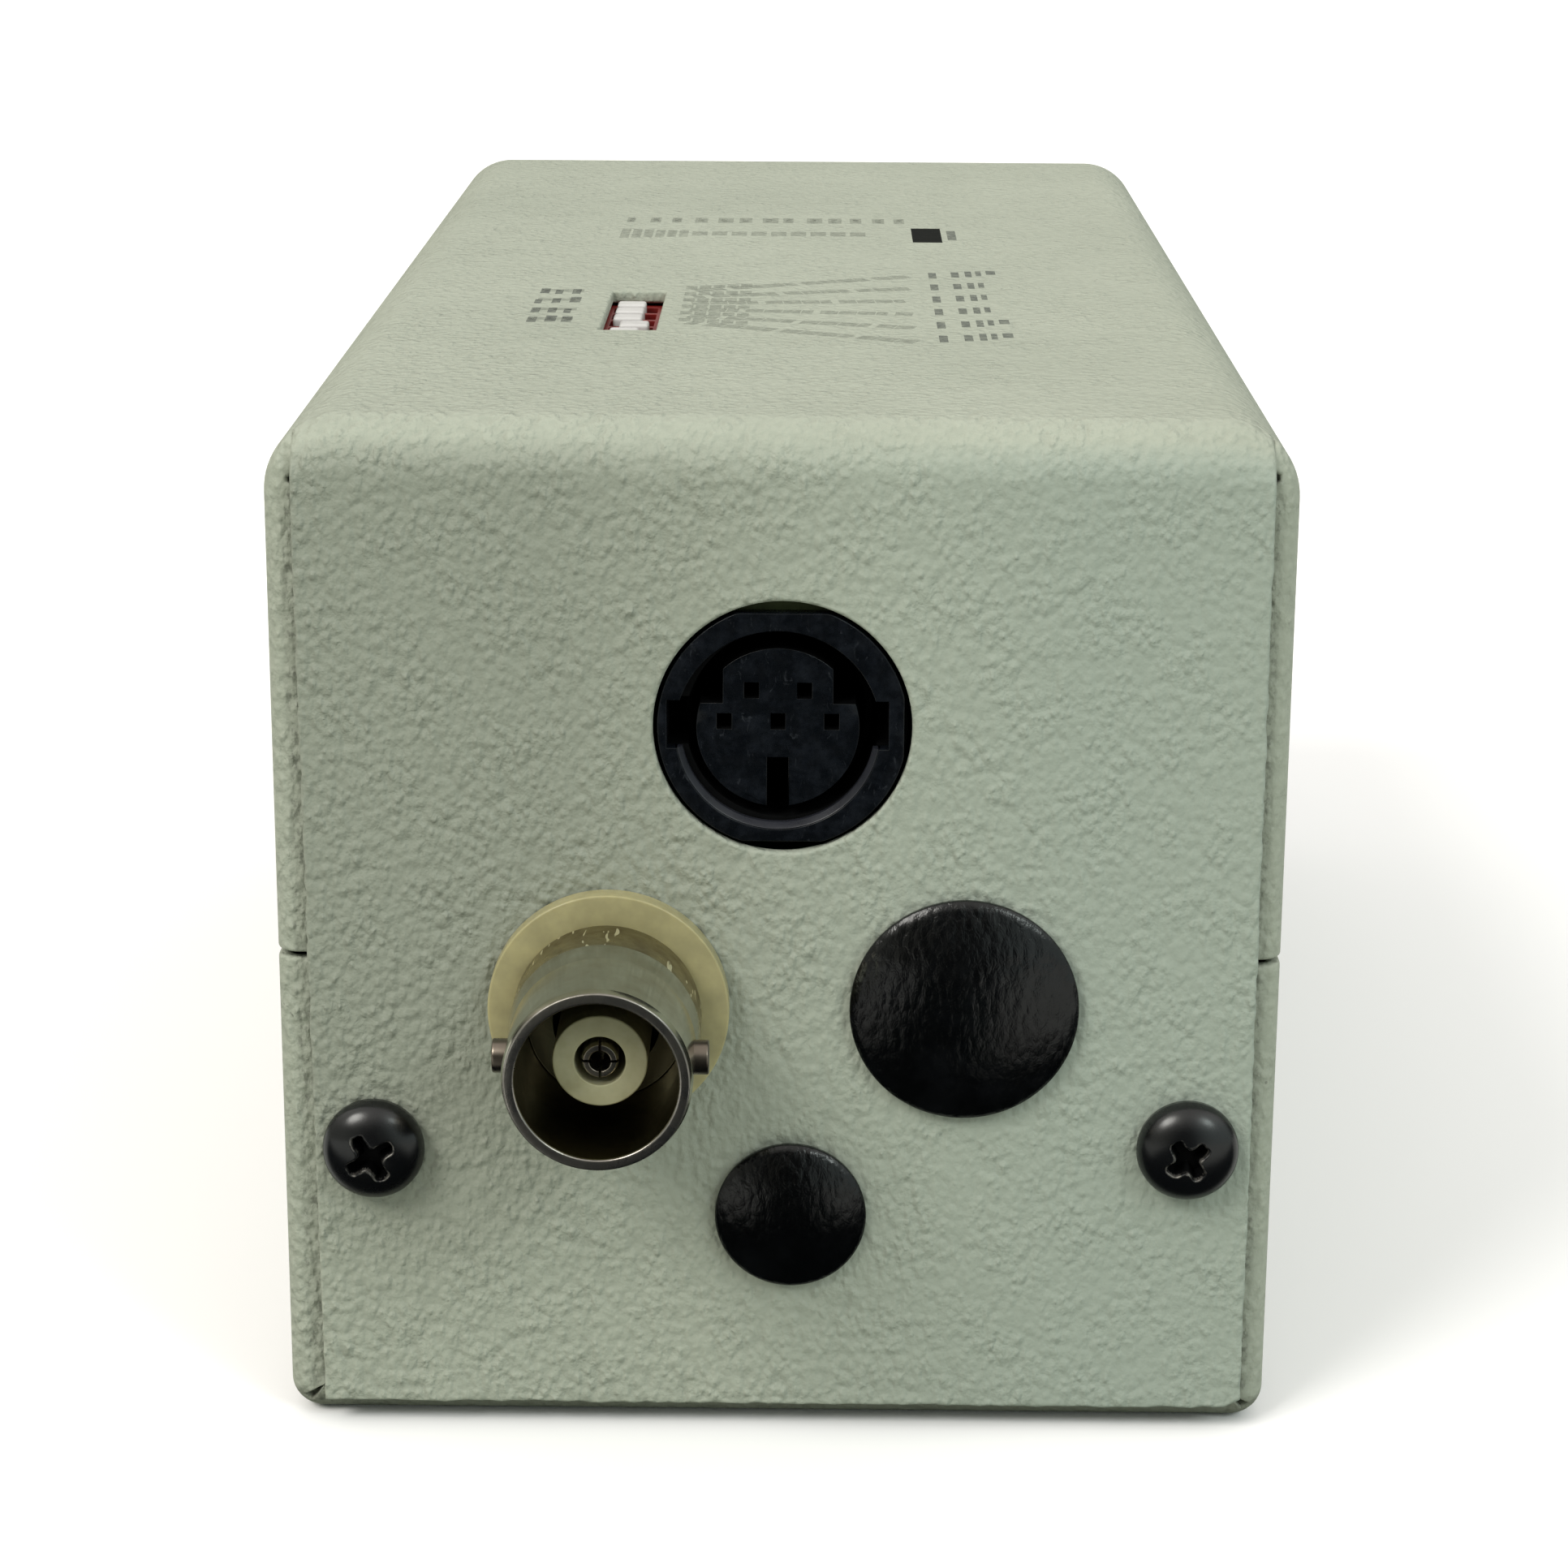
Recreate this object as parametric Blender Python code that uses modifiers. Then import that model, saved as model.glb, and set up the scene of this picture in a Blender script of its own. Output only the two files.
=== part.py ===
"""A cooled astronomy camera: a folded sheet-metal box with a C-mount nose and sockets on its back.

Lengths in this file are millimetres in the case frame, whose y = 0 is the outer face of the rear
panel, z = 0 the underside and x = 0 the middle of the case. The helpers turn them into metres, and
the case_origin empty moves the case frame so that the model stands centred on the world's origin.
"""

from math import cos, pi, radians, sin

import bmesh
import bpy
from mathutils import Matrix, Vector

MM = 0.001
GAP = 0.3
JOIN_INSET = 0.01

# Case
CASE_WIDTH = 53.2
CASE_HEIGHT = 55.4
CASE_LENGTH = 113.5
SHEET = 0.8
TOP_RADIUS = 4.0
BOTTOM_RADIUS = 1.9
PANEL_BEND_RADIUS = 3.0
LIP_BEND_RADIUS = 1.2
PANEL_LEFT = -24.8
PANEL_RIGHT = 25.15
PANEL_BOTTOM = 1.4
PANEL_SKEW = 0.35
PANEL_CORNER_CUT = 0.5
PANEL_TO_LIP = 0.2
LIP_FACE = SHEET + PANEL_TO_LIP
LIP_WIDTH = 4.1
BOTTOM_LIP_TOP = 6.0
SEAM_Z = 26.6
RELIEF_Z = 52.1
RELIEF_RADII = {"left": 0.4, "right": 0.6}
RELIEF_SLIT = 0.2
TAB_INNER_X = 17.0
TAB_BOTTOM = 10.8
TAB_TOP = 21.8

# Back of the case: centres are (x, z)
DIN_HOLE_CENTRE = (0.15, 39.5)
DIN_HOLE_RADIUS = 6.72
DIN_CENTRE = (-0.1, 39.3)
DIN_BEZEL_RADIUS = 6.5
DIN_BEZEL_TOP = 6.05
DIN_BEZEL_BOTTOM = 6.15
DIN_BEZEL_SIDE = 6.3
DIN_FACE = 0.2
DIN_BORE_RADIUS = 5.05
DIN_MOUTH_RADIUS = 5.3
DIN_CORE_RADIUS = 4.25
DIN_CORE_FACE = 0.9
DIN_CONTACTS = ((-1.37, 1.98), (1.37, 1.98), (-2.79, 0.33), (0, 0.33), (2.79, 0.33))
BNC_CENTRE = (-8.9, 24.4)
BNC_HOLE_RADIUS = 5.3
BNC_OUT = 12.0
BNC_BARREL_RADIUS = 4.8
BNC_LUG_TIP = 5.55
BNC_LUG_Y = -8.1
BNC_CORE_FACE = -8.9
LARGE_PLUG_CENTRE = (9.8, 24.35)
LARGE_PLUG_RADIUS = 6.05
SMALL_PLUG_CENTRE = (0.72, 12.67)
SMALL_PLUG_RADIUS = 4.05
REAR_SCREW_CENTRES = {"left": (-21.5, 16.3), "right": (21.8, 16.6)}
REAR_SCREW_TURN = {"left": radians(33), "right": radians(38)}
M3_HOLE_RADIUS = 1.65

# Switch window in the top
WINDOW_LEFT = -10.9
WINDOW_RIGHT = -7.65
WINDOW_START = 29.7
WINDOW_END = 44.8
SWITCH_WAYS = 6
SWITCH_PITCH = 2.54
SWITCH_MIDDLE_Y = 36.95
SLIDER_WIDTH = 1.75
SLIDER_LENGTH = 1.7
SLIDER_CLEARANCE = 0.25
SLIDER_LEFT = -10.55
SLIDER_TRAVEL = 0.5
SLIDERS_ON = (1, 3)
SLIDER_DEPTH_BELOW_TOP = 0.55

# Nose
AXIS_Z = CASE_HEIGHT / 2
NOSE_OUT = 3.5
PLATE_THICKNESS = 4.0
PLATE_FRONT = CASE_LENGTH - GAP
C_MOUNT_RADIUS = 12.7
BARREL_RADIUS = 15.2
BARREL_LENGTH = 10.5
RING_RADIUS = 17.8
RING_FLANGE_RADIUS = 18.8
KNURL_COUNT = 24
FLANGE_DISTANCE = 17.526
LOCK_SCREW_CENTRE = (18.8, 47.3)
SPREADER_START = 78.0
SPREADER_THICKNESS = 6.0
SPREADER_MIDDLE = SPREADER_START + SPREADER_THICKNESS / 2

# Side screws and the tripod bush in the floor
SIDE_SCREW_Y = PLATE_FRONT - PLATE_THICKNESS / 2
SIDE_SCREW_RADIUS = 1.2
SIDE_HOLE_DEPTH = 6.0
UPPER_SCREW_Z = 41.3
LOWER_SCREW_Z = 14.3
TRIPOD_Y = 57.0
TRIPOD_BODY_RADIUS = 5.6
TRIPOD_BORE_RADIUS = 3.25

# Boards and the posts that carry them
SWITCH_BOARD_Z = 47.9
BOARD_THICKNESS = 1.6
PILLAR_X = 18.5
PILLAR_YS = (22.0, 66.0)

REAR_Y = BNC_OUT - (BNC_OUT + CASE_LENGTH + NOSE_OUT) / 2

INNER_TOP = CASE_HEIGHT - SHEET
SENSOR_Y = CASE_LENGTH + NOSE_OUT - FLANGE_DISTANCE
CHAMBER_START = SENSOR_Y - 2.4
CHAMBER_END = 105.6
WINDOW_SEAT = SENSOR_Y + 2.6

for old in list(bpy.data.objects):
    bpy.data.objects.remove(old, do_unlink=True)

scene = bpy.context.scene
parts = bpy.data.collections.new("cooled_astronomy_camera")
cutters = bpy.data.collections.new("cutters")
scene.collection.children.link(parts)
scene.collection.children.link(cutters)
cutters.hide_render = True

case_origin = bpy.data.objects.new("case_origin", None)
case_origin.location = (0, REAR_Y * MM, 0)
parts.objects.link(case_origin)


# ---------------------------------------------------------------- helpers


def material(name, colour, roughness, metallic=0.0):
    made = bpy.data.materials.new(name)
    made.use_nodes = True
    shader = made.node_tree.nodes["Principled BSDF"]
    shader.inputs["Base Color"].default_value = (*colour, 1)
    shader.inputs["Roughness"].default_value = roughness
    shader.inputs["Metallic"].default_value = metallic
    made.diffuse_color = (*colour, 1)
    return made


def place(obj, kind=None):
    """Puts an object in the case frame: a part with a material, or a hidden cutter without one."""
    if kind is None:
        cutters.objects.link(obj)
        obj.hide_render = True
        obj.display_type = "WIRE"
    else:
        parts.objects.link(obj)
        obj.data.materials.clear()
        obj.data.materials.append(kind)
    obj.parent = case_origin
    return obj


def mesh_object(name, bm, kind=None):
    mesh = bpy.data.meshes.new(name)
    bm.to_mesh(mesh)
    bm.free()
    return place(bpy.data.objects.new(name, mesh), kind)


def smooth(obj):
    obj.data.shade_smooth()
    obj.data.set_sharp_from_angle(angle=radians(35))
    return obj


def turn_mesh(obj, matrix):
    obj.data.transform(matrix)
    return obj


def box(name, low, high, kind=None):
    """A box between two corners."""
    size = [top - bottom for bottom, top in zip(low, high)]
    middle = [(top + bottom) / 2 for bottom, top in zip(low, high)]
    bm = bmesh.new()
    bmesh.ops.create_cube(bm, size=1)
    bmesh.ops.scale(bm, vec=Vector(size) * MM, verts=bm.verts)
    bmesh.ops.translate(bm, vec=Vector(middle) * MM, verts=bm.verts)
    return mesh_object(name, bm, kind)


AXIS_TURN = {
    "x": Matrix.Rotation(radians(90), 4, "Y"),
    "y": Matrix.Rotation(radians(-90), 4, "X"),
    "z": Matrix.Identity(4),
}


def rod(name, axis, radius, start, length, kind=None, sides=24, turn=0.0):
    """A round or, with few sides, a polygonal bar from start along an axis."""
    bm = bmesh.new()
    bmesh.ops.create_cone(
        bm,
        cap_ends=True,
        segments=sides,
        radius1=radius * MM,
        radius2=radius * MM,
        depth=length * MM,
    )
    bmesh.ops.translate(bm, vec=(0, 0, length * MM / 2), verts=bm.verts)
    bmesh.ops.rotate(bm, matrix=Matrix.Rotation(turn, 3, "Z"), verts=bm.verts)
    obj = mesh_object(name, bm, kind)
    turn_mesh(obj, Matrix.Translation(Vector(start) * MM) @ AXIS_TURN[axis])
    return smooth(obj)


def turned(name, profile, centre, kind=None, steps=24, closed=True):
    """Turns (radius, y) points about the line along y through centre (x, z).

    The points run down the outer side from the nose end to the back end.
    """
    bm = bmesh.new()
    points = [bm.verts.new((radius * MM, 0, y * MM)) for radius, y in profile]
    for first, second in zip(points, points[1:]):
        bm.edges.new((first, second))
    if closed:
        bm.edges.new((points[-1], points[0]))
    obj = mesh_object(name, bm, kind)
    obj.location = (centre[0] * MM, 0, centre[1] * MM)
    obj.rotation_euler = (radians(-90), 0, 0)
    screw = obj.modifiers.new("turn", "SCREW")
    screw.axis = "Z"
    screw.steps = steps
    screw.render_steps = steps
    screw.use_merge_vertices = True
    screw.merge_threshold = 0.000001
    screw.use_smooth_shade = True
    return obj


def stand_up(obj, foot):
    """Sets a turned piece upright, with its profile's y pointing up from foot."""
    obj.rotation_euler = (0, 0, 0)
    obj.location = Vector(foot) * MM
    return obj


def outline_arc(centre, radius, start, end, pieces=5):
    """Points of an arc from angle start to end, in degrees, ends included."""
    angles = [radians(start + (end - start) * i / pieces) for i in range(pieces + 1)]
    return [(centre[0] + radius * cos(a), centre[1] + radius * sin(a)) for a in angles]


def prism(name, outline, axis, start, end, kind=None):
    """A flat outline pulled along an axis.

    The outline's two coordinates are (x, z) along y, (x, y) along z and (y, z) along x.
    """
    curve = bpy.data.curves.new(name, "CURVE")
    curve.dimensions = "2D"
    curve.fill_mode = "BOTH"
    curve.extrude = (end - start) / 2 * MM
    spline = curve.splines.new("POLY")
    spline.points.add(len(outline) - 1)
    for point, (u, v) in zip(spline.points, outline):
        point.co = (u * MM, v * MM, 0, 1)
    spline.use_cyclic_u = True
    flat = bpy.data.objects.new(name + "_outline", curve)
    scene.collection.objects.link(flat)
    graph = bpy.context.evaluated_depsgraph_get()
    mesh = bpy.data.meshes.new_from_object(flat.evaluated_get(graph))
    bpy.data.objects.remove(flat, do_unlink=True)
    bm = bmesh.new()
    bm.from_mesh(mesh)
    bmesh.ops.remove_doubles(bm, verts=bm.verts, dist=0.0000005)
    swap = {
        "y": Matrix(((1, 0, 0), (0, 0, -1), (0, 1, 0))),
        "z": Matrix.Identity(3),
        "x": Matrix(((0, 0, 1), (1, 0, 0), (0, 1, 0))),
    }[axis]
    bmesh.ops.transform(bm, matrix=swap.to_4x4(), verts=bm.verts)
    along = {"x": (1, 0, 0), "y": (0, 1, 0), "z": (0, 0, 1)}[axis]
    bmesh.ops.translate(bm, vec=Vector(along) * (start + end) / 2 * MM, verts=bm.verts)
    bmesh.ops.recalc_face_normals(bm, faces=bm.faces)
    obj = mesh_object(name, bm, kind)
    bpy.data.meshes.remove(mesh)
    return obj


def boolean(obj, operation, *others):
    for other in others:
        step = obj.modifiers.new(other.name, "BOOLEAN")
        step.operation = operation
        step.object = other
    return obj


def cut(obj, *others):
    return boolean(obj, "DIFFERENCE", *others)


def join(obj, *others):
    return boolean(obj, "UNION", *others)


def keep_inside(obj, *others):
    return boolean(obj, "INTERSECT", *others)


def drill(obj, name, axis, radius, start, length, sides=24, turn=0.0):
    return cut(obj, rod(name + "_cutter", axis, radius, start, length, sides=sides, turn=turn))


# ---------------------------------------------------------------- materials

painted_steel = material("textured_grey_paint", (0.46, 0.48, 0.42), 0.55)
black_aluminium = material("black_anodised_aluminium", (0.02, 0.02, 0.022), 0.4, 0.6)
bare_aluminium = material("bare_aluminium", (0.75, 0.76, 0.77), 0.35, 1.0)
black_steel = material("black_screw_steel", (0.015, 0.015, 0.018), 0.25, 0.9)
zinc_steel = material("zinc_plated_steel", (0.6, 0.6, 0.62), 0.35, 1.0)
nickel_brass = material("nickel_plated_brass", (0.62, 0.6, 0.54), 0.2, 1.0)
gold_plate = material("gold_plated_contact", (0.8, 0.65, 0.4), 0.2, 1.0)
cream_plastic = material("cream_insulator", (0.62, 0.57, 0.38), 0.45)
black_plastic = material("black_moulded_plastic", (0.02, 0.022, 0.027), 0.45)
plug_plastic = material("grained_black_plastic", (0.012, 0.012, 0.013), 0.5)
red_plastic = material("red_switch_plastic", (0.3, 0.02, 0.015), 0.4)
white_plastic = material("white_slider_plastic", (0.82, 0.82, 0.8), 0.45)
board_green = material("green_circuit_board", (0.02, 0.16, 0.06), 0.4)
white_ceramic = material("white_ceramic", (0.85, 0.85, 0.82), 0.5)
sensor_ceramic = material("dark_sensor_package", (0.12, 0.1, 0.1), 0.3)
glass = material("coated_window_glass", (0.55, 0.68, 0.7), 0.03)
seal_rubber = material("black_seal_rubber", (0.02, 0.02, 0.02), 0.7)
copper = material("copper_block", (0.72, 0.4, 0.25), 0.3, 1.0)
ribbon_grey = material("grey_ribbon", (0.5, 0.5, 0.52), 0.6)


# ---------------------------------------------------------------- case


def section_outline(inset):
    """The case's cross-section in x and z, moved inwards by inset."""
    half = CASE_WIDTH / 2 - inset
    top = CASE_HEIGHT - inset
    top_radius = TOP_RADIUS - inset
    bottom_radius = BOTTOM_RADIUS - inset
    right_top = (half - top_radius, top - top_radius)
    left_top = (-half + top_radius, top - top_radius)
    left_bottom = (-half + bottom_radius, inset + bottom_radius)
    right_bottom = (half - bottom_radius, inset + bottom_radius)
    return (
        outline_arc(right_top, top_radius, 0, 90)
        + outline_arc(left_top, top_radius, 90, 180)
        + outline_arc(left_bottom, bottom_radius, 180, 270)
        + outline_arc(right_bottom, bottom_radius, 270, 360)
    )


def plan_outline(inset, front):
    """The case in x and y behind the rear panel, with its rear corners bent round."""
    half = CASE_WIDTH / 2 - inset
    back = LIP_FACE + inset
    radius = LIP_BEND_RADIUS - inset
    return (
        [(half, front), (-half, front)]
        + outline_arc((-half + radius, back + radius), radius, 180, 270, 4)
        + outline_arc((half - radius, back + radius), radius, 270, 360, 4)
    )


def lip_side_outline(inset, front):
    """The case in y and z behind the rear panel, with its lower rear edge bent up."""
    top = CASE_HEIGHT - inset
    back = LIP_FACE + inset
    radius = LIP_BEND_RADIUS - inset
    return [(front, inset), (front, top), (back, top)] + outline_arc(
        (back + radius, inset + radius), radius, 180, 270, 4
    )


def panel_side_outline(inset, front):
    """The case in y and z with its top bent down into the rear panel."""
    top = CASE_HEIGHT - inset
    radius = PANEL_BEND_RADIUS - inset
    bend = outline_arc((inset + radius, top - radius), radius, 90, 180, 6)
    return [(front, inset), (front, top)] + bend + [(inset, inset)]


def hollow_of(name, side_outline, sheet, with_plan):
    """One inner block, cut out of the outer block to leave the sheet."""
    front = CASE_LENGTH + 5
    half = CASE_WIDTH
    inner = prism(name, section_outline(sheet), "y", -5, front)
    limits = [prism(name + "_side", side_outline(sheet, front), "x", -half, half)]
    if with_plan:
        limits.append(prism(name + "_plan", plan_outline(sheet, front), "z", -5, CASE_HEIGHT + 5))
    return keep_inside(inner, *limits)


def lipped_shell(name, kind=None):
    """The whole box of sheet with the lips behind the rear panel, open at the front."""
    half = CASE_WIDTH
    shell = prism(name, section_outline(0), "y", -5, CASE_LENGTH, kind)
    side = prism(name + "_side", lip_side_outline(0, CASE_LENGTH + 5), "x", -half, half)
    plan = prism(name + "_plan", plan_outline(0, CASE_LENGTH + 5), "z", -5, CASE_HEIGHT + 5)
    keep_inside(shell, side, plan)
    cut(shell, hollow_of(name + "_hollow", lip_side_outline, SHEET, True))
    inner_lip = CASE_WIDTH / 2 - LIP_WIDTH
    cut(
        shell,
        box(name + "_back_high", (-inner_lip, -5, TAB_TOP), (inner_lip, 6, 49)),
        box(name + "_back_middle", (-TAB_INNER_X, -5, BOTTOM_LIP_TOP), (TAB_INNER_X, 6, 30)),
        box(name + "_back_low", (-inner_lip, -5, BOTTOM_LIP_TOP), (inner_lip, 6, TAB_BOTTOM)),
    )
    return shell


def rear_flange():
    """The rear panel with the bend that joins it to the top, before its holes.

    Where it runs into the top it stays a hair inside the sheet, so the two join cleanly.
    """
    half = CASE_WIDTH
    end = PANEL_BEND_RADIUS + 0.6
    flange = prism("rear_flange", section_outline(JOIN_INSET), "y", -5, end)
    keep_inside(
        flange,
        prism("rear_flange_side", panel_side_outline(0, CASE_LENGTH), "x", -half, half),
    )
    cut(flange, hollow_of("rear_flange_hollow", panel_side_outline, SHEET - JOIN_INSET, False))
    above = CASE_HEIGHT + 5
    corner = PANEL_RIGHT + PANEL_SKEW
    window = [
        (PANEL_LEFT, above),
        (PANEL_LEFT, RELIEF_Z),
        (PANEL_LEFT + PANEL_SKEW, PANEL_BOTTOM),
        (corner - PANEL_CORNER_CUT, PANEL_BOTTOM),
        (corner, PANEL_BOTTOM + PANEL_CORNER_CUT),
        (PANEL_RIGHT, RELIEF_Z),
        (PANEL_RIGHT, above),
    ]
    return keep_inside(flange, prism("rear_flange_width", window, "y", -5, CASE_LENGTH))


def panel_holes():
    """Cutters for what goes through the rear panel."""
    holes = [
        ("din", DIN_HOLE_CENTRE, DIN_HOLE_RADIUS, 40),
        ("bnc", BNC_CENTRE, BNC_HOLE_RADIUS, 32),
        ("large_plug", LARGE_PLUG_CENTRE, LARGE_PLUG_RADIUS - 0.8, 32),
        ("small_plug", SMALL_PLUG_CENTRE, SMALL_PLUG_RADIUS - 0.8, 24),
    ]
    made = [
        rod(f"{name}_hole", "y", radius, (x, -3, z), 4, sides=sides)
        for name, (x, z), radius, sides in holes
    ]
    return made + screw_holes("panel", -3, 4)


def screw_holes(name, start, length):
    return [
        rod(f"{name}_hole_{side}", "y", M3_HOLE_RADIUS, (x, start, z), length, sides=16)
        for side, (x, z) in REAR_SCREW_CENTRES.items()
    ]


def top_cover():
    cover = lipped_shell("top_cover", painted_steel)
    half = CASE_WIDTH
    cut(
        cover,
        box("below_seam", (-half, -5, -5), (half, CASE_LENGTH + 5, SEAM_Z + GAP / 2)),
        box(
            "flange_room",
            (PANEL_LEFT - RELIEF_SLIT, -5, RELIEF_Z),
            (PANEL_RIGHT + RELIEF_SLIT, PANEL_BEND_RADIUS + 0.3, CASE_HEIGHT + 5),
        ),
    )
    join(cover, rear_flange())
    for side, edge, out in (("left", PANEL_LEFT, -1), ("right", PANEL_RIGHT, 1)):
        radius = RELIEF_RADII[side]
        centre = (edge + out * (radius + RELIEF_SLIT / 2), LIP_FACE - 0.3, RELIEF_Z)
        drill(cover, f"relief_{side}", "y", radius, centre, 4, 12)
    cut(cover, *panel_holes())
    cut(
        cover,
        box(
            "switch_window",
            (WINDOW_LEFT, WINDOW_START, CASE_HEIGHT - 3),
            (WINDOW_RIGHT, WINDOW_END, CASE_HEIGHT + 3),
        ),
    )
    side_screw_holes(cover, "cover", (SIDE_SCREW_Y,), UPPER_SCREW_Z)
    return cover


def side_screw_holes(obj, name, ys, z):
    for y in ys:
        reach = CASE_WIDTH + 4
        start = (-reach / 2, y, z)
        drill(obj, f"{name}_side_hole_{y:.0f}_{z:.0f}", "x", SIDE_SCREW_RADIUS + GAP, start, reach, 12)


def bottom_tray():
    tray = lipped_shell("bottom_tray", painted_steel)
    half = CASE_WIDTH
    above = box(
        "above_seam", (-half, -5, SEAM_Z - GAP / 2), (half, CASE_LENGTH + 5, CASE_HEIGHT + 5)
    )
    cut(tray, above, *screw_holes("tray", LIP_FACE - 1, 2.5))
    for side, sign in (("left", -1), ("right", 1)):
        slit = box(f"mitre_slit_{side}", (-1.3, -1, -0.17), (1.3, 2.4, 0.17))
        slit.location = (sign * 25.0 * MM, (LIP_FACE + 0.4) * MM, 1.6 * MM)
        slit.rotation_euler = (0, sign * radians(42), 0)
        cut(tray, slit)
    drill(tray, "tripod_hole", "z", TRIPOD_BODY_RADIUS + GAP, (0, TRIPOD_Y, -2), 5, 32)
    side_screw_holes(tray, "tray", (SIDE_SCREW_Y, SPREADER_MIDDLE), LOWER_SCREW_Z)
    return tray


def tripod_bush():
    """A threaded bush pressed into the floor, flush with the underside."""
    flange_bottom = SHEET + GAP
    rising = [
        (TRIPOD_BORE_RADIUS, 7.5),
        (TRIPOD_BODY_RADIUS, 7.5),
        (TRIPOD_BODY_RADIUS, flange_bottom + 1.4),
        (7.5, flange_bottom + 1.4),
        (7.5, flange_bottom),
        (TRIPOD_BODY_RADIUS, flange_bottom),
        (TRIPOD_BODY_RADIUS, 0.05),
        (TRIPOD_BORE_RADIUS, 0.05),
    ]
    return stand_up(turned("tripod_bush", rising, (0, 0), zinc_steel, 20), (0, TRIPOD_Y, 0))


def inner_plate(name, inset, start, thickness, kind):
    """A plate that fills the case's cross-section, a little inside its walls."""
    return prism(name, section_outline(SHEET + inset), "y", start, start + thickness, kind)


def tapped_holes(obj, name, y, z):
    """A hole from each side for a side screw's shank."""
    for side, x in (("left", -CASE_WIDTH / 2), ("right", CASE_WIDTH / 2 - SIDE_HOLE_DEPTH)):
        start = (x, y, z)
        radius = SIDE_SCREW_RADIUS + GAP
        drill(obj, f"{name}_{side}_{z:.0f}", "x", radius, start, SIDE_HOLE_DEPTH, 12)


def front_plate():
    start = PLATE_FRONT - PLATE_THICKNESS
    plate = inner_plate("front_plate", GAP, start, PLATE_THICKNESS, black_aluminium)
    drill(plate, "barrel_hole", "y", BARREL_RADIUS + GAP, (0, start - 1, AXIS_Z), 8, 48)
    recess = start + 1.0
    drill(plate, "ring_recess", "y", RING_FLANGE_RADIUS + GAP, (0, recess, AXIS_Z), 8, 48)
    for z in (LOWER_SCREW_Z, UPPER_SCREW_Z):
        tapped_holes(plate, "plate", SIDE_SCREW_Y, z)
    x, z = LOCK_SCREW_CENTRE
    drill(plate, "lock_screw_hole", "y", 1.3, (x, start - 1, z), 6, 12)
    return plate


def side_screw(name, side, y, z):
    """A low-headed screw through the case's side into the plate behind it."""
    head = CASE_WIDTH / 2 + 0.1
    profile = [
        (0, head + 0.9),
        (1.6, head + 0.9),
        (2.3, head + 0.45),
        (2.3, head),
        (SIDE_SCREW_RADIUS, head),
        (SIDE_SCREW_RADIUS, head - 5.2),
        (0, head - 5.2),
    ]
    screw = turned(name, profile, (0, 0), black_steel, 12, closed=False)
    screw.rotation_euler = (0, radians(90 if side == "right" else -90), 0)
    screw.location = (0, y * MM, z * MM)
    out = 1 if side == "right" else -1
    slot_start = (head + 0.4) * out
    ends = sorted((slot_start, slot_start + 2 * out))
    slots = [
        box(name + "_slot_a", (ends[0], y - 1.3, z - 0.3), (ends[1], y + 1.3, z + 0.3)),
        box(name + "_slot_b", (ends[0], y - 0.3, z - 1.3), (ends[1], y + 0.3, z + 1.3)),
    ]
    return cut(screw, *slots)


def side_screws():
    for side in ("left", "right"):
        side_screw(f"side_screw_{side}_upper", side, SIDE_SCREW_Y, UPPER_SCREW_Z)
        side_screw(f"side_screw_{side}_lower", side, SIDE_SCREW_Y, LOWER_SCREW_Z)
        side_screw(f"spreader_screw_{side}", side, SPREADER_MIDDLE, LOWER_SCREW_Z)


def rear_screw(side, centre, turn):
    """An M3 pan-head screw with a cross recess."""
    head_radius = 2.75
    dome = [(head_radius * sin(radians(a)), -1.05 - 0.95 * cos(radians(a))) for a in (72, 45, 20)]
    profile = [(0, 6.4), (1.0, 6.4), (1.35, 6.0), (1.35, -0.1), (head_radius, -0.1)]
    profile += [(head_radius, -1.05)] + dome + [(0, -2.0)]
    screw = turned(f"rear_screw_{side}", profile, centre, black_steel, 20, closed=False)
    for name, angle in (("a", 0), ("b", pi / 2)):
        slot = box(f"rear_screw_{side}_slot_{name}", (-1.55, -0.75, -0.42), (1.55, 0.75, 0.42))
        slot.location = (centre[0] * MM, -1.6 * MM, centre[1] * MM)
        slot.rotation_euler = (0, turn + angle, 0)
        cut(screw, slot)
    return screw


def clinch_nut(side, centre):
    """A nut pressed on the tray's tab, which the rear screw goes into."""
    start = LIP_FACE + SHEET + GAP
    nut = rod(f"clinch_nut_{side}", "y", 3.1, (centre[0], start, centre[1]), 2.6, zinc_steel, 16)
    return drill(nut, f"nut_bore_{side}", "y", M3_HOLE_RADIUS, (centre[0], start - 1, centre[1]), 5, 16)


# ---------------------------------------------------------------- sockets on the back


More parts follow.
